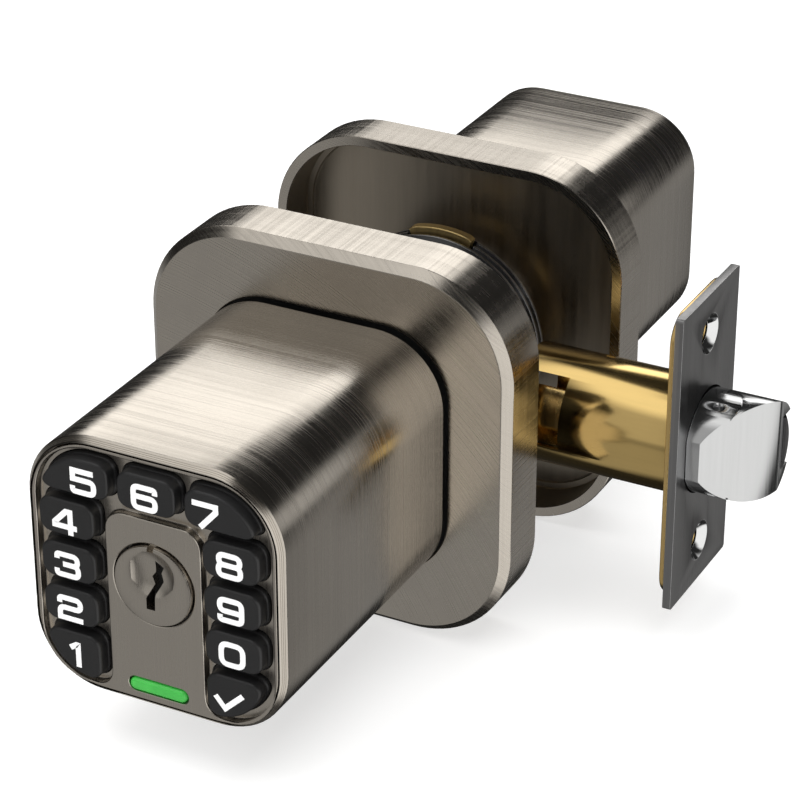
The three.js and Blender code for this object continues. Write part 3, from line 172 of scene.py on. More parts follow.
def brushed(name, colour, rough, stroke, tone=0.10, grain=0.35, axis=None, anisotropy=0.7, swirl=None, polish=(-0.05, 0.07)):
    """Brushed metal. stroke is the scale of the noise along X, Y and Z."""
    n = Nodes(name)
    source = n.place
    fine = n.noise(stroke, 6.0, 0.7, source)
    broad = n.noise(tuple(s * 0.22 for s in stroke), 3.0, 0.6, source)
    cloud = n.noise((60, 60, 60), 3.0, 0.5)
    dark = tuple(c * (1 - tone) for c in colour)
    light = tuple(min(1.0, c * (1 + tone)) for c in colour)
    tint = n.ramp(n.spread(fine, 0, 1), [(0, dark), (1, light)])
    shade = n.mix(n.spread(cloud, 0.0, 0.35), tint, tuple(c * (1 - tone * 1.2) for c in colour))
    roughness = n.math("ADD", n.spread(fine, rough + polish[0], rough + polish[1]), n.spread(broad, -0.03, 0.04))
    normal = n.bump(fine, grain, 0.00002)
    normal = n.bump(broad, grain * 0.6, 0.00005, normal)
    if swirl:
        arcs = n.add("ShaderNodeTexNoise")
        n.link(swirl(n), arcs.inputs["Vector"])
        arcs.inputs["Scale"].default_value = 1.0
        arcs.inputs["Detail"].default_value = 1.0
        normal = n.bump(arcs.outputs["Fac"], grain * 0.6, 0.00003, normal)
        roughness = n.math("ADD", roughness, n.spread(arcs.outputs["Fac"], -0.05, 0.08))
    if axis:
        tangent = n.add("ShaderNodeTangent", direction_type="RADIAL", axis=axis)
        n.link(tangent.outputs["Tangent"], n.shader.inputs["Tangent"])
    turn = 0.25 if axis else 0.0
    return n.done(
        shade, roughness, normal, Metallic=1.0, Anisotropic=anisotropy if axis else 0.0, Anisotropic_Rotation=turn
    )


def ring_space(n, centre, radial, around):
    """Coordinates that run round a point: noise over them makes strokes in arcs."""
    shift = n.add("ShaderNodeVectorMath", operation="SUBTRACT")
    n.link(n.place, shift.inputs[0])
    shift.inputs[1].default_value = centre
    split = n.add("ShaderNodeSeparateXYZ")
    n.link(shift.outputs[0], split.inputs[0])
    x, z = split.outputs["X"], split.outputs["Z"]
    reach = n.math("SQRT", n.math("ADD", n.math("MULTIPLY", x, x), n.math("MULTIPLY", z, z)))
    angle = n.math("ARCTAN2", z, x)
    joined = n.add("ShaderNodeCombineXYZ")
    n.link(n.math("MULTIPLY", reach, radial), joined.inputs["X"])
    n.link(n.math("MULTIPLY", angle, around), joined.inputs["Y"])
    return joined.outputs[0]


NICKEL = (0.54, 0.50, 0.445)
# A darker, browner nickel for the inside of the rosettes' cups: painted shade for the recess.
NICKEL_PAINTED_SHADE = (0.45, 0.40, 0.33)

knob_nickel = brushed(
    "satin_nickel_knob", NICKEL, 0.15, (ALONG, ACROSS, ALONG), tone=0.18, grain=0.5, polish=(-0.06, 0.2)
)
face_nickel = brushed(
    "satin_nickel_face", NICKEL, 0.27, (ACROSS, 900, ALONG * 4), tone=0.05, grain=0.12
)
rose_nickel = brushed(
    "satin_nickel_rose",
    NICKEL,
    0.22,
    (ALONG * 3, 1500, ALONG * 3),
    tone=0.1,
    grain=0.22,
    swirl=lambda n: ring_space(n, (-0.05, 0, -0.07), 4200, 3),
)
# The cup's nickel takes the darker colour: painted shade inside the cup.
cup_nickel_painted_shade = brushed("satin_nickel_cup_painted_shade", NICKEL_PAINTED_SHADE, 0.38, (900, 900, ALONG * 4), tone=0.1, grain=0.2)
dark_steel = brushed("dark_steel_plate", (0.30, 0.30, 0.305), 0.3, (ACROSS, ACROSS, ALONG * 2), tone=0.14, grain=0.25)
satin_chrome = brushed("satin_chrome", (0.62, 0.63, 0.64), 0.16, (ALONG * 6, ACROSS, ALONG * 4), tone=0.04, grain=0.1)
# Lighter, shinier chrome used only on the latch faceplate's bevels and countersinks: a painted highlight.
chrome_painted_highlight = brushed("chrome_painted_highlight", (0.75, 0.76, 0.77), 0.08, (700, 700, 700), tone=0.03, grain=0.05)
plain_steel = brushed("plain_steel", (0.46, 0.46, 0.47), 0.32, (800, 1600, 800), tone=0.1, grain=0.2)
# A darker copy of the dark steel for the plunger: painted shade, as the plunger sits in the bolt's slot.
plunger_steel_painted_shade = brushed("plunger_steel_painted_shade", (0.16, 0.16, 0.165), 0.3, (ALONG * 8, 2600, 2600), tone=0.1, grain=0.2)
polished_brass = brushed("polished_brass", (0.78, 0.56, 0.22), 0.13, (ALONG * 4, 900, 900), tone=0.06, grain=0.08)
plate_brass = brushed("plate_brass", (0.74, 0.53, 0.22), 0.22, (1200, 1200, ALONG * 6), tone=0.1, grain=0.2)


catch_brass = brushed("catch_brass", (0.80, 0.60, 0.27), 0.42, (900, 900, ALONG * 6), tone=0.1, grain=0.15)


def plastic(name, colour, rough, speckle=0.12, scale=3500.0, depth=0.00002, strength=0.3, **fixed):
    n = Nodes(name)
    fine = n.noise((scale,) * 3, 3.0, 0.6)
    broad = n.noise((90, 90, 90), 3.0, 0.5)
    dark = tuple(c * (1 - speckle) for c in colour)
    light = tuple(c * (1 + speckle) for c in colour)
    tint = n.ramp(n.spread(broad, 0, 1), [(0, dark), (1, light)])
    roughness = n.math("ADD", n.spread(fine, rough - 0.04, rough + 0.05), n.spread(broad, -0.04, 0.04))
    return n.done(tint, roughness, n.bump(fine, strength, depth), **fixed)


key_rubber = plastic("key_rubber", (0.0105, 0.0105, 0.011), 0.42, strength=0.2, Specular_IOR_Level=0.5)
black_plastic = plastic("black_plastic", (0.012, 0.012, 0.012), 0.5)
blackened = plastic("blackened_metal", (0.012, 0.012, 0.012), 0.22, Metallic=0.4, strength=0.1)
legend_white = plastic("legend_white", (0.86, 0.86, 0.86), 0.5, speckle=0.02, strength=0.05)
cell_film = plastic("cell_film", (0.08, 0.17, 0.27), 0.3, speckle=0.1, strength=0.05)
board_mask = plastic("board_mask", (0.02, 0.13, 0.05), 0.4, speckle=0.3, scale=1200.0)

# The lens's faint green emission makes it glow: painted light.
lens = Nodes("green_lens")
lens_cloud = lens.noise((350, 350, 350), 3.0, 0.5)
green_lens = lens.done(
    lens.ramp(lens.spread(lens_cloud, 0, 1), [(0, (0.04, 0.34, 0.05)), (1, (0.05, 0.42, 0.06))]),
    lens.spread(lens_cloud, 0.28, 0.4),
    lens.bump(lens_cloud, 0.15, 0.00003),
    Emission_Color=(0.05, 0.55, 0.08, 1),
    Emission_Strength=0.12,
)

# Near-black for the keyway and the block inside it: painted shade in the keyway.
keyway_painted_shade = plastic("keyway_painted_shade", (0.004, 0.004, 0.004), 0.8)


# ---- Making meshes -----------------------------------------------------------------------
def new_object(name, points, faces, material, sharp=28):
    mesh = bpy.data.meshes.new(name)
    mesh.from_pydata([Vector(p) * MM for p in points], [], faces)
    mesh.validate()
    bm = bmesh.new()
    bm.from_mesh(mesh)
    bmesh.ops.remove_doubles(bm, verts=bm.verts, dist=1e-7)
    bmesh.ops.recalc_face_normals(bm, faces=bm.faces)
    bm.to_mesh(mesh)
    bm.free()
    shade(mesh, sharp)
    mesh.materials.append(material)
    made = bpy.data.objects.new(name, mesh)
    bpy.context.scene.collection.objects.link(made)
    return made


def shade(mesh, sharp):
    for polygon in mesh.polygons:
        polygon.use_smooth = True
    mesh.set_sharp_from_angle(angle=math.radians(sharp))


def piece(made, body, slot, *replaced):
    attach(made, body)
    if replaced:
        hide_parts(*replaced)
    return made


def loft(loops, closed=False):
    """Quads between loops of equal length. Open stacks get a flat face at each end."""
    count = len(loops[0])
    points = [p for loop in loops for p in loop]
    faces = []
    last = len(loops) if closed else len(loops) - 1
    for i in range(last):
        a, b = i * count, ((i + 1) % len(loops)) * count
        for j in range(count):
            k = (j + 1) % count
            faces.append((a + j, a + k, b + k, b + j))
    if not closed:
        faces.append(tuple(range(count)))
        faces.append(tuple(range((len(loops) - 1) * count, len(loops) * count)))
    return points, faces


def corner_reach(c, s, a, b, r):
    """How far along the direction (c, s) the edge of a rounded box lies."""
    c, s = abs(c), abs(s)
    t = min(a / c if c > 1e-9 else 1e9, b / s if s > 1e-9 else 1e9)
    if t * c > a - r and t * s > b - r and r > 1e-6:
        cx, cy = a - r, b - r
        along = c * cx + s * cy
        inside = along * along - (cx * cx + cy * cy - r * r)
        t = along + math.sqrt(max(0.0, inside))
    return t


def box_angles(a, b, r, arc=14, side=5):
    """Angles that follow a rounded box with points close together in its corners."""
    found = []
    for quarter in range(4):
        cx = (a - r) * (1, -1, -1, 1)[quarter]
        cy = (b - r) * (1, 1, -1, -1)[quarter]
        for i in range(arc + 1):
            t = (quarter + i / arc) * math.pi / 2
            found.append((cx + r * math.cos(t), cy + r * math.sin(t)))
        nx, ny = found[-1]
        cx = (a - r) * (-1, -1, 1, 1)[quarter]
        cy = (b - r) * (1, -1, -1, 1)[quarter]
        t = (quarter + 1) * math.pi / 2
        ex, ey = cx + r * math.cos(t), cy + r * math.sin(t)
        for i in range(1, side):
            found.append((nx + (ex - nx) * i / side, ny + (ey - ny) * i / side))
    return [math.atan2(y, x) for x, y in found]


def square_loop(angles, half, radius, y):
    points = []
    for t in angles:
        c, s = math.cos(t), math.sin(t)
        reach = corner_reach(c, s, half, half, radius)
        points.append((reach * c, y, reach * s))
    return points


def round_loop(angles, radius, y):
    return [(radius * math.cos(t), y, radius * math.sin(t)) for t in angles]


def fillet(half0, y0, half1, y1, steps=5, bulge=True):
    """(half, y) pairs on a quarter of an ellipse that starts along Y and ends across it."""
    pairs = []
    for i in range(steps + 1):
        t = i / steps * math.pi / 2
        if bulge:
            pairs.append((half1 + (half0 - half1) * math.cos(t), y0 + (y1 - y0) * math.sin(t)))
        else:
            pairs.append((half0 + (half1 - half0) * math.sin(t), y1 + (y0 - y1) * math.cos(t)))
    return pairs


def square_stack(angles, pairs, half, corner):
    """Rounded-square loops through (half, y) pairs; the corner radius follows the offset."""
    return [square_loop(angles, h, max(0.4, corner - (half - h)), y) for h, y in pairs]


def lathe(name, pairs, material, along="Y", steps=96, centre=(0, 0, 0), closed=True, sharp=28):
    """A turned piece from (radius, position) pairs. Closed pairs make a ring."""
    loops = []
    for radius, place in pairs:
        loop = []
        for i in range(steps):
            t = TAU * i / steps
            u, v = radius * math.cos(t), radius * math.sin(t)
            at = {"Y": (u, place, v), "X": (place, u, v)}[along]
            loop.append(tuple(a + b for a, b in zip(at, centre)))
        loops.append(loop)
    return new_object(name, *loft(loops, closed), material, sharp)


def softened(pairs, edge=0.25, steps=3, closed=True):
    """Rounds every corner of a profile of (radius, position) pairs."""
    result = []
    count = len(pairs)
    for i, pair in enumerate(pairs):
        if not closed and i in (0, count - 1):
            result.append(pair)
            continue
        here = Vector(pair)
        before = Vector(pairs[i - 1]) - here
        after = Vector(pairs[(i + 1) % count]) - here
        cut = min(edge, before.length * 0.45, after.length * 0.45)
        a, b = here + before.normalized() * cut, here + after.normalized() * cut
        for j in range(steps + 1):
            t = j / steps
            p = a * (1 - t) ** 2 + here * 2 * t * (1 - t) + b * t * t
            result.append((p.x, p.y))
    return result


def block(name, low, high, material, bevel=0.15):
    """A box with softened edges."""
    points = [(x, y, z) for x in (low[0], high[0]) for y in (low[1], high[1]) for z in (low[2], high[2])]
    faces = [(0, 1, 3, 2), (4, 6, 7, 5), (0, 4, 5, 1), (2, 3, 7, 6), (0, 2, 6, 4), (1, 5, 7, 3)]
    made = new_object(name, points, faces, material)
    if bevel:
        soften(made, bevel)
    return made


def apply_modifiers(made, sharp=28):
    graph = bpy.context.evaluated_depsgraph_get()
    graph.update()
    mesh = bpy.data.meshes.new_from_object(made.evaluated_get(graph))
    made.modifiers.clear()
    old = made.data
    made.data = mesh
    bpy.data.meshes.remove(old)
    shade(made.data, sharp)
    return made


def soften(made, width, segments=2, angle=30, sharp=40):
    bevel = made.modifiers.new("bevel", "BEVEL")
    bevel.width = width * MM
    bevel.segments = segments
    bevel.limit_method = "ANGLE"
    bevel.angle_limit = math.radians(angle)
    bevel.use_clamp_overlap = True
    return apply_modifiers(made, sharp)


def carve(made, *tools, operation="DIFFERENCE", sharp=28):
    """Boolean cuts, with the tools thrown away."""
    for tool in tools:
        boolean = made.modifiers.new("cut", "BOOLEAN")
        boolean.object = tool
        boolean.operation = operation
        boolean.solver = "EXACT"
    apply_modifiers(made, sharp)
    for tool in tools:
        bpy.data.objects.remove(tool)
    return made


def rod(name, radius, start, end, along="Y", centre=(0, 0, 0), steps=64, material=None):
    pairs = [(radius, start), (radius, end)]
    return lathe(name, pairs, material or plain_steel, along, steps, centre, closed=False)


def prism(name, outline, y0, y1, material, holes=()):
    """A straight prism along Y from an outline of (x, z) points."""
    count = len(outline)
    points = [(x, y0, z) for x, z in outline] + [(x, y1, z) for x, z in outline]
    faces = [tuple(range(count)), tuple(range(count, 2 * count))]
    for i in range(count):
        j = (i + 1) % count
        faces.append((i, j, count + j, count + i))
    return new_object(name, points, faces, material)


def two_tone(made, second, chosen):
    """Gives the faces that a test picks a second material."""
    made.data.materials.append(second)
    for polygon in made.data.polygons:
        if chosen(polygon):
            polygon.material_index = 1
    return made


def weighted(made):
    modifier = made.modifiers.new("normals", "WEIGHTED_NORMAL")
    modifier.keep_sharp = True
    return made


# ---- The knobs' shells -------------------------------------------------------------------
def knob_shell(name, node, corner, lip, seat, wall, face_sign):
    """The hollow knob: fine-grooved chamfer at its face, seat for the end plate, open rear."""
    low, high = cad(node)
    half = high.x
    face, rear = (low.y, high.y) if face_sign < 0 else (high.y, low.y)
    inward = -face_sign
    angles = box_angles(half, half, corner)
    chamfer = 1.1
    pairs = [(half - wall, rear), (half - 0.25, rear)]
    pairs += fillet(half - 0.25, rear, half, rear + face_sign * 0.25, 3, bulge=False)[1:]
    pairs += [(half, face + inward * (chamfer + 0.2)), (half - 0.03, face + inward * (chamfer + 0.06))]
    # Four bands of the chamfer with a hair-fine groove between each pair.
    start = (half - 0.07, face + inward * chamfer)
    end = (half - lip + 0.12, face + inward * 0.05)
    bands = 4
    for i in range(bands):
        for t in (i / bands + 0.03, (i + 1) / bands - 0.03):
            pairs.append((start[0] + (end[0] - start[0]) * t, start[1] + (end[1] - start[1]) * t))
        if i < bands - 1:
            t = (i + 1) / bands
            pairs.append((
                start[0] + (end[0] - start[0]) * t - 0.035,
                start[1] + (end[1] - start[1]) * t + inward * 0.035,
            ))
    pairs += [(half - lip + 0.04, face), (half - lip, face + inward * 0.06)]
    pairs += [(half - lip, face + inward * seat), (half - wall, face + inward * seat)]
    loops = square_stack(angles, pairs, half, corner)
    return new_object(name, *loft(loops, closed=True), knob_nickel, sharp=24)


outside_shell = knob_shell("outside_knob_shell_looks", "outside_knob_shell", 13.0, 0.95, 3.3, 2.2, -1)
piece(outside_shell, "outside_knob", "satin_nickel", "outside_knob_shell")
inside_shell = knob_shell("inside_knob_shell_looks", "inside_knob_shell", 12.0, 0.95, 2.5, 2.2, 1)
piece(inside_shell, "inside_knob", "satin_nickel", "inside_knob_shell")

shell_low, shell_high = cad("outside_knob_shell")
KNOB_HALF = shell_high.x
FACE = shell_low.y
CHANNEL_FLOOR = FACE + 1.4
PLATE_BACK = cad("keypad_face_plate")[1].y


# ---- Keys --------------------------------------------------------------------------------
KEY_NAMES = ["key_1", "key_2", "key_3", "key_4", "key_5", "key_6", "key_7", "key_8", "key_9", "key_0", "key_enter"]
KEY_PROUD = 1.5
KEY_FLANGE_GROW = 0.7
CAP_HALF = KNOB_HALF - 3.3  # how far a cap may reach from the knob's axis
CAP_CORNER = 9.2
SQUARED = 0.001


def cap_box(name):
    """The CAD key's cap, back from the box of its flange: x0, x1, z0, z1."""
    low, high = cad(name)
    grow = KEY_FLANGE_GROW
    return low.x + grow, high.x - grow, low.z + grow, high.z - grow


CAP_BOXES = {
    name: box
    for name, box in ((name, cap_box(name)) for name in KEY_NAMES)
}


def key_loop(box, grow, y, count=96):
    """A cap's outline grown by a distance, held inside the channel's round corner."""
    x0, x1, z0, z1 = box
    cx, cz = (x0 + x1) / 2, (z0 + z1) / 2
    a, b = (x1 - x0) / 2 + grow, (z1 - z0) / 2 + grow
    radius = max(0.3, 2.1 + grow)
    limit, limit_radius = CAP_HALF + grow, CAP_CORNER + grow
    points = []
    for i in range(count):
        t = TAU * i / count
        c, s = math.cos(t), math.sin(t)
        reach = corner_reach(c, s, a, b, radius)
        # Shorten the ray until its end is inside the limit.
        if not inside_square(cx + reach * c, cz + reach * s, limit, limit_radius):
            near, far = 0.0, reach
            for _ in range(24):
                middle = (near + far) / 2
                if inside_square(cx + middle * c, cz + middle * s, limit, limit_radius):
                    near = middle
                else:
                    far = middle
            reach = near
        points.append((cx + reach * c, y, cz + reach * s))
    return points


def inside_square(x, z, half, radius):
    x, z = abs(x), abs(z)
    if x > half or z > half:
        return False
    dx, dz = x - (half - radius), z - (half - radius)
    return dx <= 0 or dz <= 0 or dx * dx + dz * dz <= radius * radius


def smooth_loop(loop, times=2):
    """Takes the hard corner off a sampled outline."""
    for _ in range(times):
        loop = [
            tuple((a + 2 * b + c) / 4 for a, b, c in zip(loop[i - 1], loop[i], loop[(i + 1) % len(loop)]))
            for i in range(len(loop))
        ]
    return loop


def build_key(name):
    box = CAP_BOXES[name]
    top = FACE - KEY_PROUD
    skirt = CHANNEL_FLOOR - 0.55
    back = cad(name)[1].y
    stack = [
        (-0.62, top + 0.02), (-0.42, top), (-0.2, top + 0.09), (-0.05, top + 0.26), (0.0, top + 0.5),
        (0.02, skirt - 0.5), (0.06, skirt - 0.25), (0.2, skirt - 0.1), (0.36, skirt + 0.05), (0.4, skirt + 0.25),
        (0.4, PLATE_BACK + 0.3), (KEY_FLANGE_GROW - 0.05, PLATE_BACK + 0.32), (KEY_FLANGE_GROW - 0.05, back),
    ]
    loops = [smooth_loop(key_loop(box, grow, y)) for grow, y in stack]
    return new_object(name + "_looks", *loft(loops), key_rubber, sharp=50)


for key_name in KEY_NAMES:
    piece(build_key(key_name), key_name + "_body", "key_rubber", key_name)


# ---- Legends on the keys -----------------------------------------------------------------
STROKE = 0.98
LEGEND_HALF_WIDTH = 2.0
LEGEND_HALF_HEIGHT = 1.9


def arc_corner(before, corner, after, radius, steps=5):
    """The rounded stretch of a line at one of its corners."""
    corner, a, b = Vector(corner), Vector(before), Vector(after)
    u, v = (a - corner), (b - corner)
    cut = min(radius, u.length * 0.499, v.length * 0.499)
    u, v = u.normalized() * cut, v.normalized() * cut
    start, end = corner + u, corner + v
    if cut < 0.02:
        return [tuple(corner)]
    return [tuple(start * (1 - t) ** 2 + corner * 2 * t * (1 - t) + end * t * t) for t in (i / steps for i in range(steps + 1))]


def rounded_line(points, closed, radii):
    out = []
    count = len(points)
    for i, p in enumerate(points):
        if not closed and i in (0, count - 1):
            out.append(tuple(p))
        else:
            out += arc_corner(points[i - 1], p, points[(i + 1) % count], radii[i])
    return out


def ribbon(points, closed, width):
    """Left and right edges of a stroke, with mitred joints."""
    left, right = [], []
    count = len(points)
    for i in range(count):
        p = Vector(points[i])
        before = Vector(points[i - 1]) if closed or i else None
        after = Vector(points[(i + 1) % count]) if closed or i < count - 1 else None
        d1 = (p - before).normalized() if before is not None else None
        d2 = (after - p).normalized() if after is not None else None
        d1 = d1 if d1 is not None else d2
        d2 = d2 if d2 is not None else d1
        n1, n2 = Vector((-d1.y, d1.x)), Vector((-d2.y, d2.x))
        bisector = (n1 + n2).normalized()
        reach = width / 2 / max(0.35, bisector.dot(n1))
        left.append(p + bisector * reach)
        right.append(p - bisector * reach)
    return left, right


W, H = LEGEND_HALF_WIDTH, LEGEND_HALF_HEIGHT
OUT = STROKE / 2
R = 0.95
# Each glyph: strokes of (x, z, corner radius) points, and whether the stroke closes.
GLYPHS = {
    "key_0": [([(-W, H, 1.3), (W, H, 1.3), (W, -H, 1.3), (-W, -H, 1.3)], True)],
    "key_1": [([(-0.75, 1.1, 0), (0.45, H, 0), (0.75, H, 0), (0.75, -H - OUT, 0)], False)],
    "key_2": [([
        (-W, 0.85, 0), (-W, H, R), (W, H, R), (W, 0.05, R), (-W, 0.05, R), (-W, -H, 0), (W + 0.4, -H, 0),
    ], False)],
    "key_3": [
        ([(-W, 0.95, 0), (-W, H, R), (W - 0.1, H, R), (W - 0.1, 0.1, R), (-0.9, 0.1, 0)], False),
        ([(-0.9, 0.1, 0), (W, 0.1, R), (W, -H, R), (-W - 0.1, -H, R), (-W - 0.1, -0.95, 0)], False),
    ],
    "key_4": [
        ([(1.3, H, 0), (0.2, H, 0), (-W, -0.45, 0), (-W, -0.95, 0), (W + 0.2, -0.95, 0)], False),
        ([(1.0, -H - OUT, 0), (1.0, H + OUT, 0)], False),
    ],
    "key_5": [([
        (W, H, 0), (-W + 0.1, H, 0), (-W + 0.1, 0.35, 0), (W, 0.35, R), (W, -H, R), (-W, -H, R), (-W, -0.95, 0),
    ], False)],
    "key_6": [
        ([(W, 0.95, 0), (W, H, R), (-W, H, R), (-W, -H, R), (0, -H, 0)], False),
        ([(0, -H, 0), (W, -H, R), (W, 0.15, R), (-W + 0.3, 0.15, 0)], False),
    ],
    "key_7": [([(-W - 0.3, H, 0), (W, H, 0), (W, 0.95, 0), (-0.9, -H - 0.45, 0)], False)],
    "key_8": [
        ([(-W + 0.1, H, R), (W - 0.1, H, R), (W - 0.1, 0.1, R), (-W + 0.1, 0.1, R)], True),
        ([(-W, 0.1, R), (W, 0.1, R), (W, -H, R), (-W, -H, R)], True),
    ],
    "key_9": [
        ([(-W, -0.95, 0), (-W, -H, R), (W, -H, R), (W, H, R), (0, H, 0)], False),
        ([(0, H, 0), (-W, H, R), (-W, -0.15, R), (W - 0.3, -0.15, 0)], False),
    ],
    "key_enter": [([(-2.5, 0.35, 0), (-0.75, -1.75, 0), (2.6, 1.5, 0)], False)],
}
LEGEND_DROP = 0.55  # below the middle of the cap
# The corner keys print theirs nearer to the knob's axis.
LEGEND_SHIFTS = {"key_5": (1.95, -0.1), "key_7": (-2.6, -0.1), "key_1": (0.1, 0.45), "key_enter": (-0.9, 0.25)}
LEGEND_THICK = 0.04


def build_stroke(line, closed, cx, cz, top):
    points, faces = [], []
    path = rounded_line([p[:2] for p in line], closed, [p[2] for p in line])
    left, right = ribbon(path, closed, STROKE)
    count = len(left)
    for a, b in zip(left, right):
        for edge in (a, b):
            points.append((cx + edge.x, top - LEGEND_THICK, cz + edge.y))
            points.append((cx + edge.x, top + 0.1, cz + edge.y))
    for i in range(count if closed else count - 1):
        a, b = 4 * i, 4 * ((i + 1) % count)
        faces += [(a, b, b + 2, a + 2), (a + 1, a + 3, b + 3, b + 1), (a, a + 1, b + 1, b), (a + 2, b + 2, b + 3, a + 3)]
    if not closed:
        a, b = 0, 4 * (count - 1)
        faces += [(a, a + 2, a + 3, a + 1), (b, b + 1, b + 3, b + 2)]
    return new_object("stroke", points, faces, legend_white, sharp=20)


def build_legend(name):
    """White printed strokes on a key's cap, a few hundredths of a millimetre thick."""
    x0, x1, z0, z1 = CAP_BOXES[name]
    dx, dz = LEGEND_SHIFTS.get(name, (-0.15, 0.0))
    cx, cz = (x0 + x1) / 2 + dx, (z0 + z1) / 2 + dz - LEGEND_DROP
    strokes = [build_stroke(line, closed, cx, cz, FACE - KEY_PROUD) for line, closed in GLYPHS[name]]
    made = strokes[0]
    if strokes[1:]:
        carve(made, *strokes[1:], operation="UNION", sharp=20)
    made.name = name + "_legend"
    return made


for key_name in KEY_NAMES:
    piece(build_legend(key_name), key_name + "_body", "key_legend")


# ---- Face plate --------------------------------------------------------------------------
CHANNEL_HALF = KNOB_HALF - 2.0
CHANNEL_CORNER = 10.5
ISLAND_HALF = 9.0
ISLAND_TOP = 11.9
ISLAND_CORNER = 3.5
LEG_END = -22.2
LEG_CORNER = 3.2
PLUG_HOLE = 7.6
LIGHT_Z = -20.1


def arc_points(cx, cz, radius, start, end, steps):
    return [
        (cx + radius * math.cos(math.radians(start + (end - start) * i / steps)),
         cz + radius * math.sin(math.radians(start + (end - start) * i / steps)))
        for i in range(steps + 1)
    ]


def channel_outline(inset):
    """The U-shaped channel's outline, moved inwards by a distance."""
    outer = CHANNEL_HALF - inset
    corner = CHANNEL_CORNER - inset
    inner = ISLAND_HALF + inset
    top = ISLAND_TOP + inset
    island = ISLAND_CORNER + inset
    low = LEG_END + inset
    tip = LEG_CORNER - inset
    foot = min(9.2, corner) if corner < 9.2 else 9.2 - inset
    c = outer - corner
    f = outer - foot
    points = []
    points += arc_points(c, c, corner, 0, 90, 12)
    points += arc_points(-c, c, corner, 90, 180, 12)
    points += arc_points(-f, low + foot, foot, 180, 263, 10)
    points += arc_points(-inner - tip, low + tip, tip, 270, 360, 7)
    points += arc_points(-inner + island, top - island, island, 180, 90, 8)
    points += arc_points(inner - island, top - island, island, 90, 0, 8)
    points += arc_points(inner + tip, low + tip, tip, 180, 270, 7)
    points += arc_points(f, low + foot, foot, 277, 360, 10)
    return points


def sheet_with_holes(outlines, y):
    """Triangles that fill the first outline less the others. Outlines are (x, z) lists."""
    loops = [[Vector((x, z, 0)) for x, z in outline] for outline in outlines]
    triangles = tessellate_polygon(loops)
    points = [(p.x, y, p.y) for loop in loops for p in loop]
    return points, [tuple(t) for t in triangles]


def flat(loop):
    return [(x, z) for x, _, z in loop]


def build_face_plate():
    points, faces = [], []

    def add_sheet(outlines, y):
        base = len(points)
        p, f = sheet_with_holes(outlines, y)
        points.extend(p)
        faces.extend(tuple(base + i for i in face) for face in f)

    def add_wall(rows):
        """Quads between successive outlines at successive heights: [(outline, y), ...]."""
        base = len(points)
        count = len(rows[0][0])
        for outline, y in rows:
            points.extend((x, y, z) for x, z in outline)
        for i in range(len(rows) - 1):
            for j in range(count):
                k = (j + 1) % count
                a, b = base + i * count, base + (i + 1) * count
                faces.append((a + j, a + k, b + k, b + j))

    half, corner = KNOB_HALF - 1.25, 13.0 - 1.25
    angles = box_angles(half, half, corner)
    rim = [flat(square_loop(angles, half - d, corner - d, 0)) for d in (0.0, 0.04, 0.12)]
    edge = 0.32
    steps = 4
    channel = []
    for i in range(steps + 1):
        t = i / steps * math.pi / 2
        channel.append((channel_outline(edge * math.sin(t) - edge), FACE + edge * (1 - math.cos(t))))
    channel.append((channel_outline(0.0), CHANNEL_FLOOR - 0.3))
    for i in range(1, 4):
        t = i / 3 * math.pi / 2
        channel.append((channel_outline(0.3 * (1 - math.cos(t))), CHANNEL_FLOOR - 0.3 + 0.3 * math.sin(t)))
    plug = [
        [(r * math.cos(TAU * i / 96), r * math.sin(TAU * i / 96)) for i in range(96)]
        for r in (PLUG_HOLE + 0.22, PLUG_HOLE + 0.07, PLUG_HOLE)
    ]
    light_low, light_high = cad("status_light_lens")
    a, b = light_high.x + 0.3, (light_high.z - light_low.z) / 2 + 0.3
    cz = (light_low.z + light_high.z) / 2

    def light(grow):
        found = []
        for t in light_angles:
            reach = corner_reach(math.cos(t), math.sin(t), a + grow, b + grow, b + grow)
            found.append((reach * math.cos(t), cz + reach * math.sin(t)))
        return found

    light_angles = box_angles(a, b, b, arc=10, side=2)
    lights = [light(0.16), light(0.05), light(0.0)]
    add_sheet([rim[2], channel[0][0], plug[0], lights[0]], FACE)
    add_wall([(rim[2], FACE), (rim[1], FACE + 0.04), (rim[0], FACE + 0.14), (rim[0], PLATE_BACK)])
    add_wall(channel)
    add_wall([(plug[0], FACE), (plug[1], FACE + 0.08), (plug[2], FACE + 0.25), (plug[2], PLATE_BACK)])
    add_wall([(lights[0], FACE), (lights[1], FACE + 0.06), (lights[2], FACE + 0.2), (lights[2], PLATE_BACK)])
    holes = [flat(smooth_loop(key_loop(CAP_BOXES[name], 0.58, 0))) for name in KEY_NAMES]
    add_sheet([channel[-1][0], *holes], CHANNEL_FLOOR)
    for hole in holes:
        add_wall([(hole, CHANNEL_FLOOR), (hole, PLATE_BACK)])
    add_sheet([rim[0], plug[2], lights[2], *holes], PLATE_BACK)
    return new_object("keypad_face_plate_looks", points, faces, face_nickel, sharp=24)


face_plate = weighted(build_face_plate())
piece(face_plate, "outside_knob", "satin_nickel", "keypad_face_plate")

light_low, light_high = cad("status_light_lens")


def build_light():
    a, b = light_high.x, (light_high.z - light_low.z) / 2
    cz = (light_low.z + light_high.z) / 2
    angles = box_angles(a, b, b, arc=12, side=3)
    loops = []
    for inset, y in [(0.75, light_low.y), (0.4, light_low.y + 0.05), (0.15, light_low.y + 0.2), (0.0, light_low.y + 0.5), (0.0, light_high.y)]:
        loop = []
        for t in angles:
            reach = corner_reach(math.cos(t), math.sin(t), a - inset, b - inset, b - inset)
            loop.append((reach * math.cos(t), y, cz + reach * math.sin(t)))
        loops.append(loop)
    return new_object("status_light_looks", *loft(loops), green_lens, sharp=40)


piece(build_light(), "outside_knob", "green_lens", "status_light_lens")


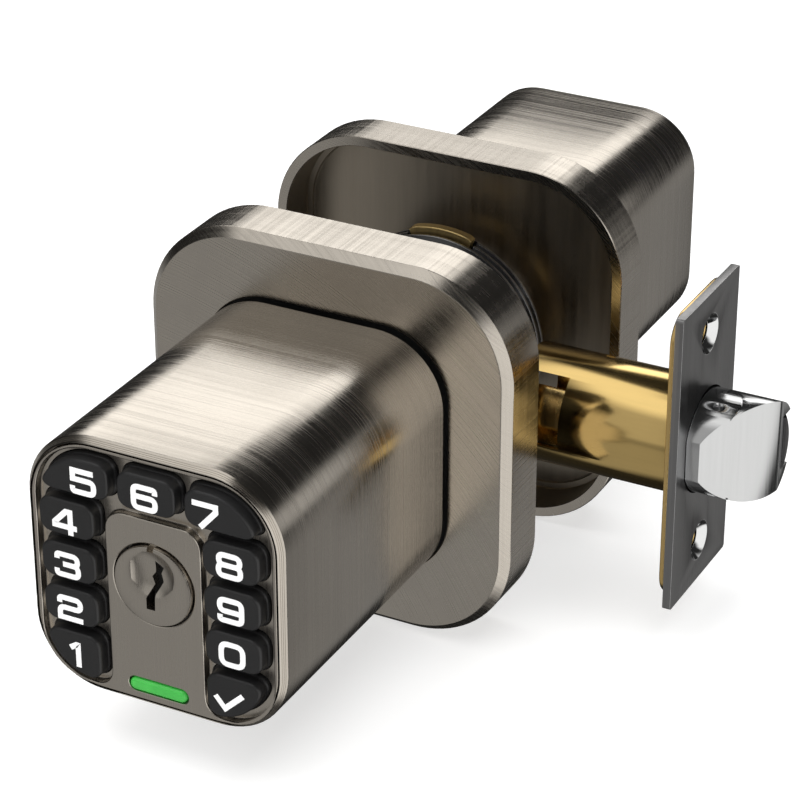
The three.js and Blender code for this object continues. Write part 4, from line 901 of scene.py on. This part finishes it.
# ---- Key plug ----------------------------------------------------------------------------
def build_plug():
    low, high = cad("key_plug")
    head = low.y
    neck = PLATE_BACK - 0.3
    profile = [(7.3, neck), (7.3, head + 0.35), (7.18, head + 0.1), (6.95, head), (0.01, head)]
    rear = [(0.01, high.y), (6.3, high.y), (6.3, neck)]
    made = lathe("key_plug_looks", rear + profile, face_nickel, closed=False, steps=128)
    ball = (4.3**2 + 1.1**2) / (2 * 1.1)
    dimple = bpy.data.meshes.new("dimple")
    bm = bmesh.new()
    bmesh.ops.create_uvsphere(bm, u_segments=96, v_segments=48, radius=ball * MM)
    bmesh.ops.translate(bm, verts=bm.verts, vec=Vector((0, head + 1.1 - ball, 2.3)) * MM)
    bm.to_mesh(dimple)
    bm.free()
    tool = bpy.data.objects.new("dimple", dimple)
    bpy.context.scene.collection.objects.link(tool)
    keyway = [
        (0.3, 4.6), (1.9, 3.7), (1.3, 2.4), (1.75, 1.0), (0.5, -1.4), (0.4, -4.4),
        (-1.2, -4.4), (-1.2, -2.4), (0.1, 0.2), (-0.5, 1.4), (0.2, 2.4),
    ]
    slot = prism("slot", keyway, head - 1, head + 22, keyway_painted_shade)
    notch = block("notch", (-0.7, head - 1, 6.4), (0.5, head + 1.2, 8.5), face_nickel, bevel=0)
    return carve(made, tool, slot, notch, sharp=30)


piece(build_plug(), "plug_body", "satin_nickel", "key_plug")
plug_low, plug_high = cad("key_plug")
# A near-black block inside the keyway, where the pins are: painted shade.
keyway_shade_block = block(
    "keyway_pins_painted_shade", (-1.05, plug_low.y + 2.2, -4.1), (1.45, plug_low.y + 21, 3.6), keyway_painted_shade, bevel=0.2
)
piece(keyway_shade_block, "plug_body", "black_plastic")


# ---- Rosettes ----------------------------------------------------------------------------
ROSE_CORNER = 19.0


def rosette(name, node, opening_half, opening_corner, front_sign):
    """A rounded-square cup, open towards the door, with an opening for the knob or its shank."""
    low, high = cad(node)
    half = high.x
    front, rim = (low.y, high.y) if front_sign < 0 else (high.y, low.y)
    inward = -front_sign
    angles = box_angles(half, half, ROSE_CORNER, arc=20, side=12)
    wall = 2.0
    chamfer = 1.65
    outer = [
        (half - wall, rim + front_sign * 0.12), (half - wall + 0.12, rim), (half - 0.15, rim), (half, rim + front_sign * 0.15),
        (half, front + inward * (chamfer + 0.12)), (half - 0.05, front + inward * (chamfer - 0.02)),
        (half - chamfer + 0.1, front + inward * 0.06), (half - chamfer - 0.1, front),
    ]
    loops = square_stack(angles, outer, half, ROSE_CORNER)
    # A front face in a few rings, so that its brushed strokes shade evenly.
    if opening_corner:
        edge = [
            (opening_half + 0.32, front), (opening_half + 0.2, front + inward * 0.04),
            (opening_half + 0.1, front + inward * 0.14), (opening_half + 0.06, front + inward * 0.3),
            (opening_half + 0.06, front + inward * wall),
        ]
        loops += [square_loop(angles, h, opening_corner + h - opening_half, y) for h, y in edge]
    else:
        edge = [(opening_half + 0.5, front), (opening_half + 0.1, front + inward * 0.15), (opening_half, front + inward * 0.5), (opening_half, front + inward * wall)]
        loops += [round_loop(angles, r, y) for r, y in edge]
    floor = front + inward * wall
    ledge = 1.4
    inner_half = half - wall
    inside = [
        (inner_half - ledge, floor), (inner_half - ledge + 0.15, floor + inward * 0.12),
        (inner_half - ledge + 0.3, floor + inward * 0.55), (inner_half - 0.12, floor + inward * 0.75),
        (inner_half, floor + inward * 0.95),
    ]
    loops += [square_loop(angles, h, ROSE_CORNER - (half - h), y) for h, y in inside]
    made = new_object(name, *loft(loops, closed=True), rose_nickel, sharp=24)

    def in_cup_painted_shade(face):
        """The walls that face the middle and the floor of the cup, but not its rim: they get the darker nickel, which
        is painted shade.
        """
        inwards = face.center.x * face.normal.x + face.center.z * face.normal.z < -0.003
        return inwards or (front_sign * face.normal.y < -0.5 and abs(face.center.y / MM - rim) > 0.5)

    return two_tone(made, cup_nickel_painted_shade, in_cup_painted_shade)


OPENING_HALF = 24.0
outside_rose = rosette("outside_rosette_looks", "outside_rosette", OPENING_HALF, 13.0, -1)
piece(weighted(outside_rose), "lock_body", "satin_nickel", "outside_rosette")
inside_rose = rosette("inside_rosette_looks", "inside_rosette", 14.5, None, 1)
piece(weighted(inside_rose), "lock_body", "satin_nickel", "inside_rosette")

liner_low, liner_high = cad("rosette_liner")


def build_liner():
    half = liner_high.x
    angles = box_angles(half, half, 15.0, arc=12, side=8)
    stack = [(half - 0.3, liner_low.y), (half, liner_low.y + 0.3), (half, liner_high.y - 0.3), (half - 0.3, liner_high.y)]
    loops = square_stack(angles, stack, half, 15.0)
    loops += [round_loop(angles, r, y) for r, y in ((14.8, liner_high.y), (14.5, liner_high.y - 0.3), (14.5, liner_low.y + 0.3), (14.8, liner_low.y))]
    return new_object("rosette_liner_looks", *loft(loops, closed=True), black_plastic)


piece(build_liner(), "lock_body", "black_plastic", "rosette_liner")


# ---- Hub, catch, bearings ----------------------------------------------------------------
hub_low, hub_high = cad("chassis_hub")
HUB_RADIUS = hub_high.x
tube_low, tube_high = cad("latch_tube")
TUBE_RADIUS = tube_high.y


def build_hub():
    bore = HUB_RADIUS - 2.7
    start, end = hub_low.y, hub_high.y
    plain = HUB_RADIUS - 0.7
    profile = [(bore, start), (plain, start), (plain, end - 4.9)]
    pitch = 1.6
    for rib in range(3):
        at = end - 4.8 + rib * pitch
        profile += [(HUB_RADIUS - 0.08, at + pitch * 0.42), (HUB_RADIUS, at + pitch * 0.55), (HUB_RADIUS, at + pitch * 0.72), (HUB_RADIUS - 0.1, at + pitch * 0.82), (plain - 0.1, at + pitch * 0.95)]
    profile += [(plain - 0.3, end), (bore, end)]
    made = lathe("chassis_hub_looks", softened(profile, 0.12, 2), blackened, steps=128)
    half = TUBE_RADIUS + 0.65
    window = block("window", (-HUB_RADIUS - 1, -half, -13.8), (HUB_RADIUS + 1, half, 13.8), blackened, bevel=0)
    catch_low, catch_high = cad("rose_catch")
    gap = 0.3
    notch = block(
        "notch",
        (catch_low.x - gap, catch_low.y - gap, catch_low.z - gap),
        (catch_high.x + gap, catch_high.y + gap, catch_high.z + 1),
        blackened,
        bevel=0,
    )
    carve(made, window, notch, sharp=35)
    ribs_from = end - 4.7

    # The rib crowns get the lighter plain steel: painted highlight lines on the black hub.
    def crest_painted_highlight(face):
        reach = math.hypot(face.center.x, face.center.z) / MM
        return reach > HUB_RADIUS - 0.08 and face.center.y / MM > ribs_from

    return two_tone(made, plain_steel, crest_painted_highlight)


piece(build_hub(), "lock_body", "black_metal", "chassis_hub")


def build_catch():
    low, high = cad("rose_catch")
    outer, inner = high.z, high.z - 3.1
    half = high.x
    reach = math.asin(half / outer)
    steps = 24
    section = softened([(inner, low.y), (outer, low.y), (outer, high.y), (inner, high.y)], 0.3, 3)
    loops = []
    for i in range(steps + 1):
        t = -reach + 2 * reach * i / steps
        drop = 0.35 * max(0.0, abs(2 * i / steps - 1) - 0.88) / 0.12
        loops.append([((r - drop) * math.sin(t), y, (r - drop) * math.cos(t)) for r, y in section])
    return new_object("rose_catch_looks", *loft(loops), catch_brass, sharp=50)


piece(build_catch(), "lock_body", "brass", "rose_catch")


def ring_piece(name, node, body, slot, material, inner, edge=0.3):
    low, high = cad(node)
    outer = high.x
    pairs = softened([(inner, low.y), (outer, low.y), (outer, high.y), (inner, high.y)], edge, 3)
    return piece(lathe(name, pairs, material), body, slot, node)


ring_piece("outside_bearing_looks", "outside_bearing", "lock_body", "brass", plate_brass, 14.3)
ring_piece("inside_bearing_looks", "inside_bearing", "lock_body", "brass", plate_brass, 14.3)


# ---- Latch tube, vane, plates ------------------------------------------------------------
seat_x = tube_low.x + 9.9
window_end = seat_x - 0.5


def build_tube():
    inner = TUBE_RADIUS - 0.8
    profile = softened(
        [(inner, tube_low.x), (TUBE_RADIUS, tube_low.x), (TUBE_RADIUS, tube_high.x), (inner, tube_high.x),
         (inner, seat_x + 1.0), (5.0, seat_x + 1.0), (5.0, seat_x), (inner, seat_x)], 0.15, 2)
    made = lathe("latch_tube_looks", profile, polished_brass, along="X", steps=160, sharp=30)
    window = block("window", (window_end - 6.4, -TUBE_RADIUS - 1, -3.3), (window_end, 0, 9.0), polished_brass, bevel=0)
    plunger_slot = block("slot", (seat_x - 0.6, 4.4, -5.5), (seat_x + 1.6, 9.6, 5.5), polished_brass, bevel=0)
    tail_slot = block("tail", (seat_x - 0.6, -1.7, -3.0), (seat_x + 1.6, 1.7, 3.0), polished_brass, bevel=0)
    carve(made, window, plunger_slot, tail_slot)
    return soften(made, 0.1, 2, 50)


piece(build_tube(), "lock_body", "brass", "latch_tube")


def build_retractor():
    """The bar under the spindle, its rails and tail, and the folded vane behind the window."""
    low, high = cad("retractor")
    rail_out, rail_in = 5.5, 3.5
    top, bottom = -6.9, -12.1
    shoe = (low.x, low.x + 2.4)
    parts = [
        block("part", (shoe[0], -rail_out, bottom), (shoe[1], rail_out, top), plate_brass, 0),
        block("part", (shoe[0] + 0.1, rail_in, bottom), (22, rail_out, top), plate_brass, 0),
        block("part", (shoe[0] + 0.1, -rail_out, bottom), (22, -rail_in, top), plate_brass, 0),
        block("part", (19, -rail_out, bottom), (22, rail_out, 2.5), plate_brass, 0),
        block("part", (19.5, -1.2, -2.5), (high.x, 1.2, 2.5), plate_brass, 0),
        block("part", (28.0, -4.4, -1.2), (window_end, -0.6, 1.2), plate_brass, 0),
    ]
    made = parts[0]
    carve(made, *parts[1:], operation="UNION")
    # Folded leaves, stacked across the tube like a bent strip.
    leaves = []
    for i, (radius, y_shift, start, end) in enumerate([(7.4, 0.0, 28.2, 36.4), (6.6, 0.0, 28.2, 35.6), (5.8, 0.0, 28.2, 36.1)]):
        outer, inner = radius, radius - 0.55
        steps = 20
        loops = []
        for j in range(steps + 1):
            t = math.radians(-52 + 104 * j / steps)
            tilt = 0.35 * math.sin(3.1 * j / steps + i)
            loops.append([
                (start, -outer * math.cos(t), outer * math.sin(t)),
                (end - 0.4 - tilt, -outer * math.cos(t), outer * math.sin(t)),
                (end - 0.4 - tilt, -inner * math.cos(t), inner * math.sin(t)),
                (start, -inner * math.cos(t), inner * math.sin(t)),
            ])
        leaves.append(new_object("leaf", *loft(loops), plate_brass))
    rib = block("part", (28.2, -7.0, -0.45), (34.5, -1.0, 0.45), plate_brass, 0)
    carve(made, rib, *leaves, operation="UNION")
    made.name = "retractor_looks"
    return soften(made, 0.12, 2, 40)


piece(build_retractor(), "latch_bolt", "brass", "retractor")

plate_low, plate_high = cad("latch_faceplate")
SCREW_Z = 41.3 / 2


def flat_prism_x(name, outline, x0, x1, material):
    """A straight prism along X from an outline of (y, z) points."""
    count = len(outline)
    points = [(x0, y, z) for y, z in outline] + [(x1, y, z) for y, z in outline]
    faces = [tuple(range(count)), tuple(range(count, 2 * count))]
    for i in range(count):
        j = (i + 1) % count
        faces.append((i, j, count + j, count + i))
    return new_object(name, points, faces, material)


def rectangle(half_y, half_z, corner, steps=5):
    points = []
    for quarter, (sy, sz) in enumerate(((1, 1), (-1, 1), (-1, -1), (1, -1))):
        points += arc_points(sy * (half_y - corner), sz * (half_z - corner), corner, quarter * 90, quarter * 90 + 90, steps)
    return points


def d_outline(radius, flat_at, steps=96):
    """A circle with a flat on its -Y side, as (y, z) points."""
    t0 = math.acos(-flat_at / radius)
    return [(radius * math.cos(-t0 + 2 * t0 * i / steps), radius * math.sin(-t0 + 2 * t0 * i / steps)) for i in range(steps + 1)]


BOLT_RADIUS = 9.5
BOLT_FLAT = 8.75


def build_faceplate():
    made = flat_prism_x(
        "latch_faceplate_looks", rectangle(plate_high.y, plate_high.z, 0.6), plate_low.x, plate_high.x, dark_steel
    )
    tools = [flat_prism_x("hole", d_outline(BOLT_RADIUS + 0.3, BOLT_FLAT + 0.3), plate_low.x - 1, plate_high.x + 1, dark_steel)]
    for sign in (-1, 1):
        centre = (0, 0, sign * SCREW_Z)
        pairs = [(0.01, plate_low.x - 1), (2.3, plate_low.x - 1), (2.3, plate_low.x + 0.05), (3.65, plate_high.x - 0.06), (3.8, plate_high.x + 0.02), (3.8, plate_high.x + 1), (0.01, plate_high.x + 1)]
        tools.append(lathe("sink", pairs, chrome_painted_highlight, along="X", steps=64, centre=centre, closed=False))
    carve(made, *tools)
    soften(made, 0.16, 3, 40)
    # The bevels and countersinks take the lighter chrome: painted highlight on the edges.
    return two_tone(made, chrome_painted_highlight, lambda face: 0.05 < abs(face.normal.x) < 0.99)


piece(build_faceplate(), "lock_body", "dark_steel", "latch_faceplate")


def build_back_plate():
    low, high = cad("latch_back_plate")
    half_y, half_z = high.y, high.z
    outline = []
    # A rectangle with rounded corners.
    for quarter, (sy, sz) in enumerate(((1, 1), (-1, 1), (-1, -1), (1, -1))):
        outline += arc_points(sy * (half_y - 5), sz * (half_z - 5), 5, quarter * 90, quarter * 90 + 90, 8)
    made = flat_prism_x("latch_back_plate_looks", outline, low.x, high.x, plate_brass)
    tools = [rod("hole", TUBE_RADIUS + 0.3, low.x - 1, high.x + 1, "X", steps=128)]
    for sign in (-1, 1):
        tools.append(rod("hole", 2.3, low.x - 1, high.x + 1, "X", (0, 0, sign * SCREW_Z)))
    carve(made, *tools)
    return soften(made, 0.3, 3, 40)


piece(build_back_plate(), "lock_body", "brass", "latch_back_plate")


# ---- Bolt --------------------------------------------------------------------------------
bolt_low, bolt_high = cad("bolt_head")


def build_bolt():
    rear, tip = bolt_low.x, bolt_high.x
    made = flat_prism_x("bolt_head_looks", d_outline(BOLT_RADIUS, BOLT_FLAT, 128), rear, tip, satin_chrome)
    start = Vector((plate_high.x + 2.5, -BOLT_FLAT))
    end = Vector((tip, 3.5))
    middle = (start + end) / 2 + Vector((1, -1)) * 1.27
    curve = [start * (1 - t) ** 2 + middle * 2 * t * (1 - t) + end * t * t for t in (i / 24 for i in range(25))]
    outline = [(p.x, p.y) for p in curve]
    outline += [(tip + 2, 4.5), (tip + 2, -14), (start.x - 0.5, -14)]
    bevel_points = [(x, y, -15) for x, y in outline] + [(x, y, 15) for x, y in outline]
    count = len(outline)
    faces = [tuple(range(count)), tuple(range(count, 2 * count))]
    faces += [(i, (i + 1) % count, count + (i + 1) % count, count + i) for i in range(count)]
    bevel_tool = new_object("bevel", bevel_points, faces, satin_chrome)
    plunger_slot = block("slot", (rear - 1, 4.6, -5.3), (tip + 1, 12, 5.3), satin_chrome, bevel=0)
    tail_slot = block("tail", (rear - 1, -1.5, -2.8), (rear + 6.57, 1.5, 2.8), satin_chrome, bevel=0)
    pin_hole = []
    pin_low, pin_high = cad("bolt_pin")
    pin_x, pin_y = (pin_low.x + pin_high.x) / 2, (pin_low.y + pin_high.y) / 2
    for sign in (-1, 1):
        pairs = [(0.95, sign * 5.0), (0.95, sign * 12.0)]
        loops = []
        for radius, z in pairs:
            loops.append([(pin_x + radius * math.cos(TAU * i / 32), pin_y + radius * math.sin(TAU * i / 32), z) for i in range(32)])
        pin_hole.append(new_object("pin", *loft(loops), satin_chrome))
    carve(made, bevel_tool, plunger_slot, tail_slot, *pin_hole)
    # The seam where the rounded head leaves its sleeve: a fine groove round the bolt.
    groove_path = [(61.0, 143), (62.2, 128), (64.0, 112), (66.0, 98), (67.3, 78), (66.9, 66), (66.5, 53)]
    for mirror in (1, -1):
        carve(made, seam_tool(groove_path, mirror))
    return soften(made, 0.12, 2, 35)


def seam_tool(path, mirror, width=0.22, depth=0.3):
    """A thin strip that follows the bolt's round: path is (x, degrees from -Y towards +Z)."""
    dense = []
    for (x0, a0), (x1, a1) in zip(path, path[1:]):
        for i in range(6):
            dense.append((x0 + (x1 - x0) * i / 6, a0 + (a1 - a0) * i / 6))
    dense.append(path[-1])
    loops = []
    for i, (x, a) in enumerate(dense):
        before, after = dense[max(0, i - 1)], dense[min(len(dense) - 1, i + 1)]
        run = Vector((after[0] - before[0], math.radians(after[1] - before[1]) * BOLT_RADIUS)).normalized()
        across = Vector((-run.y, run.x)) * width / 2
        loop = []
        for side, radius in ((-1, BOLT_RADIUS - depth), (1, BOLT_RADIUS - depth), (1, BOLT_RADIUS + 1), (-1, BOLT_RADIUS + 1)):
            px = x + side * across.x
            t = math.radians(a) + side * across.y / BOLT_RADIUS
            loop.append((px, -radius * math.cos(t), mirror * radius * math.sin(t)))
        loops.append(loop)
    return new_object("seam", *loft(loops), satin_chrome)


piece(build_bolt(), "latch_bolt", "chrome", "bolt_head")


def build_plunger():
    low, high = cad("deadlatch_plunger")
    radius = BOLT_RADIUS - 0.3
    profile = [(0.01, low.x), (radius, low.x), (radius, high.x - 3.2)]
    profile += [(radius - 3.2 * (1 - math.cos(t)), high.x - 3.2 + 3.2 * math.sin(t)) for t in (i / 8 * math.pi / 2 for i in range(1, 9))]
    profile.append((0.01, high.x))
    # The plunger takes the darker steel: painted shade.
    made = lathe("deadlatch_plunger_looks", profile, plunger_steel_painted_shade, along="X", steps=128, closed=False)
    keep = block("keep", (low.x - 1, low.y, low.z), (high.x + 1, high.y + 3, high.z), plunger_steel_painted_shade, bevel=0)
    carve(made, keep, operation="INTERSECT")
    return soften(made, 0.25, 3, 40)


piece(build_plunger(), "plunger_body", "dark_steel", "deadlatch_plunger")


# ---- Battery cover -----------------------------------------------------------------------
def build_cover():
    low, high = cad("battery_cover")
    half, corner = high.x, 12.0 - 1.25
    angles = box_angles(half, half, corner)
    inner = low.y
    stack = [(half - 0.15, inner), (half, inner + 0.15), (half, high.y - 0.2), (half - 0.06, high.y - 0.06), (half - 0.2, high.y)]
    loops = square_stack(angles, stack, half, corner)
    loops += [round_loop(angles, r, y) for r, y in ((9.0, high.y), (2.9, high.y), (2.7, high.y - 0.15), (2.7, high.y - 1.2), (1.5, high.y - 1.2), (1.5, inner))]
    return new_object("battery_cover_looks", *loft(loops, closed=True), face_nickel, sharp=24)


piece(weighted(build_cover()), "inside_knob", "satin_nickel", "battery_cover")


# ---- CAD nodes that keep their shape get finished materials --------------------------------
KEPT = {
    "keypad_membrane": black_plastic,
    "circuit_board": board_mask,
    "core_frame": black_plastic,
    "cylinder_housing": plain_steel,
    "clutch_motor": plain_steel,
    "clutch_screw": plate_brass,
    "clutch_dog": plain_steel,
    "tailpiece": plain_steel,
    "outside_knob_base": plain_steel,
    "inside_knob_base": plain_steel,
    "outside_knob_screw_1": plain_steel,
    "outside_knob_screw_2": plain_steel,
    "inside_knob_screw_1": plain_steel,
    "inside_knob_screw_2": plain_steel,
    "battery_cover_screw": plain_steel,
    "mounting_screw_1": plain_steel,
    "mounting_screw_2": plain_steel,
    "chassis_plate_outside": plain_steel,
    "chassis_plate_inside": plain_steel,
    "outside_return_spring": plain_steel,
    "bolt_spring": plain_steel,
    "bolt_pin": plain_steel,
    "spindle": plain_steel,
    "spindle_coupler": plain_steel,
    "latch_cam": plain_steel,
    "battery_holder": black_plastic,
    "battery_cell_1": cell_film,
    "battery_cell_2": cell_film,
    "battery_cell_3": cell_film,
    "battery_cell_4": cell_film,
}
for node_name, finish in KEPT.items():
    for material_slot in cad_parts[node_name].material_slots:
        material_slot.material = finish


# A copy of the bolt's spring, on the lock body.
spring_low, spring_high = cad("bolt_spring")
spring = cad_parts["bolt_spring"].copy()
spring.data = spring.data.copy()
spring.name = "bolt_spring_looks"
bpy.context.scene.collection.objects.link(spring)
piece(spring, "lock_body", "steel", "bolt_spring")
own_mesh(spring)


# ---- Floor, light, camera ----------------------------------------------------------------
floor_z = cad_box[0].z - 0.0005
floor_size = 4.0
floor_mesh = bpy.data.meshes.new("floor")
floor_mesh.from_pydata(
    [(x * floor_size, y * floor_size, floor_z) for x, y in ((-1, -1), (1, -1), (1, 1), (-1, 1))], [], [(0, 1, 2, 3)]
)
floor = bpy.data.objects.new("floor", floor_mesh)
bpy.context.scene.collection.objects.link(floor)

floor_nodes = Nodes("floor_paper")
floor_cloud = floor_nodes.noise((3, 3, 3), 2.0, 0.5)
floor_paper = floor_nodes.done(
    floor_nodes.ramp(floor_cloud, [(0, (0.52, 0.52, 0.52)), (1, (0.55, 0.55, 0.55))]),
    None,
    None,
    Roughness=0.9,
    Emission_Color=(1, 1, 1, 1),
    Emission_Strength=0.62,
)
floor_nodes.shader.inputs["Specular IOR Level"].default_value = 0.0
floor.visible_glossy = False
floor.data.materials.append(floor_paper)

world = bpy.data.worlds.new("studio")
bpy.context.scene.world = world
world.use_nodes = True
tree = world.node_tree
tree.nodes.clear()


def world_node(kind, **settings):
    node = tree.nodes.new(kind)
    for key, value in settings.items():
        setattr(node, key, value)
    return node


def world_math(operation, a, b=0.0):
    node = world_node("ShaderNodeMath", operation=operation)
    for socket, value in zip(node.inputs, (a, b)):
        if isinstance(value, (int, float)):
            socket.default_value = value
        else:
            tree.links.new(value, socket)
    return node.outputs[0]


direction = world_node("ShaderNodeSeparateXYZ")
tree.links.new(world_node("ShaderNodeTexCoord").outputs["Generated"], direction.inputs[0])
azimuth = world_math("MULTIPLY", world_math("ARCTAN2", direction.outputs["X"], direction.outputs["Y"]), 180 / math.pi)
elevation = world_math("MULTIPLY", world_math("ARCSINE", direction.outputs["Z"]), 180 / math.pi)


def soft_step(value, low, high):
    node = world_node("ShaderNodeMapRange", interpolation_type="SMOOTHSTEP")
    tree.links.new(value, node.inputs["Value"])
    node.inputs["From Min"].default_value = low
    node.inputs["From Max"].default_value = high
    return node.outputs["Result"]


def soft_box(az, el, az_soft, el_soft, strength):
    """A patch of light between two azimuths (from +Y towards +X) and two elevations."""
    left = soft_step(azimuth, az[0] - az_soft[0], az[0] + az_soft[0])
    right = soft_step(azimuth, az[1] + az_soft[1], az[1] - az_soft[1])
    low = soft_step(elevation, el[0] - el_soft[0], el[0] + el_soft[0])
    high = soft_step(elevation, el[1] + el_soft[1], el[1] - el_soft[1])
    area = world_math("MULTIPLY", world_math("MULTIPLY", left, right), world_math("MULTIPLY", low, high))
    return world_math("MULTIPLY", area, strength)


BOXES = [
    # azimuths, elevations, softness at each, strength
    ((-50, -1), (22, 41), (5, 3), (4.5, 4), 2.1),  # big box behind, up to the left
    ((-185, -50), (50, 85), (8, 6), (9, 6), 1.15),  # overhead, to the left
    ((-182, -128), (-4, 50), (7, 7), (6, 9), 0.5),  # in front, to the left
    ((72, 165), (-60, 28), (8, 8), (10, 8), 1.1),  # low, to the right and in front
    ((-80, -48), (-46, -8), (8, 8), (8, 8), 0.35),  # low, to the left
    ((37, 58), (-4, 16), (5, 8), (6, 6), 0.6),  # a strip behind, to the right
    ((8, 50), (-46, -8), (8, 8), (8, 6), 0.27),  # paper behind, to the right
    ((-182, -112), (-72, -8), (10, 10), (8, 6), 0.34),  # paper in front
]
light_sum = 0.022
for box in BOXES:
    light_sum = world_math("ADD", soft_box(*box), light_sum)

lit = world_node("ShaderNodeBackground")
lit.inputs["Color"].default_value = (1.0, 0.985, 0.96, 1)
tree.links.new(light_sum, lit.inputs["Strength"])
seen = world_node("ShaderNodeBackground")
seen.inputs["Color"].default_value = (1, 1, 1, 1)
seen.inputs["Strength"].default_value = 1.0
choice = world_node("ShaderNodeMixShader")
tree.links.new(world_node("ShaderNodeLightPath").outputs["Is Camera Ray"], choice.inputs["Fac"])
tree.links.new(lit.outputs[0], choice.inputs[1])
tree.links.new(seen.outputs[0], choice.inputs[2])
tree.links.new(choice.outputs[0], world_node("ShaderNodeOutputWorld").inputs["Surface"])


def soft_light(name, place, target, size, watts):
    data = bpy.data.lights.new(name, "AREA")
    data.shape = "RECTANGLE"
    data.size, data.size_y = size
    data.energy = watts
    made = bpy.data.objects.new(name, data)
    made.location = place
    made.rotation_euler = (Vector(target) - Vector(place)).to_track_quat("-Z", "Y").to_euler()
    bpy.context.scene.collection.objects.link(made)
    made.visible_glossy = False
    return made


soft_light("overhead", (0.0, -0.1, 1.3), (0, 0, 0), (1.6, 1.6), 26)
soft_light("front_left", (-0.7, -1.0, 0.8), (0, -0.02, 0), (0.8, 0.8), 6)

# The camera looks along the azimuth and elevation of the photograph's view.
AZIMUTH, ELEVATION = math.radians(27.44), math.radians(27.93)
target = Vector((-0.34, 0.0, -7.04)) * MM
distance = 0.5555
back = Vector((
    math.sin(AZIMUTH) * math.cos(ELEVATION),
    -math.cos(AZIMUTH) * math.cos(ELEVATION),
    math.sin(ELEVATION),
))
camera_data = bpy.data.cameras.new("camera")
camera_data.sensor_width = 36.0
camera_data.lens = 36.0 * 3002 / 800
camera_data.clip_start = 0.01
camera_data.clip_end = 20
camera = bpy.data.objects.new("camera", camera_data)
camera.location = target + back * distance
camera.rotation_euler = (-back).to_track_quat("-Z", "Y").to_euler()
bpy.context.scene.collection.objects.link(camera)
bpy.context.scene.camera = camera
bpy.context.scene.view_settings.view_transform = "Standard"
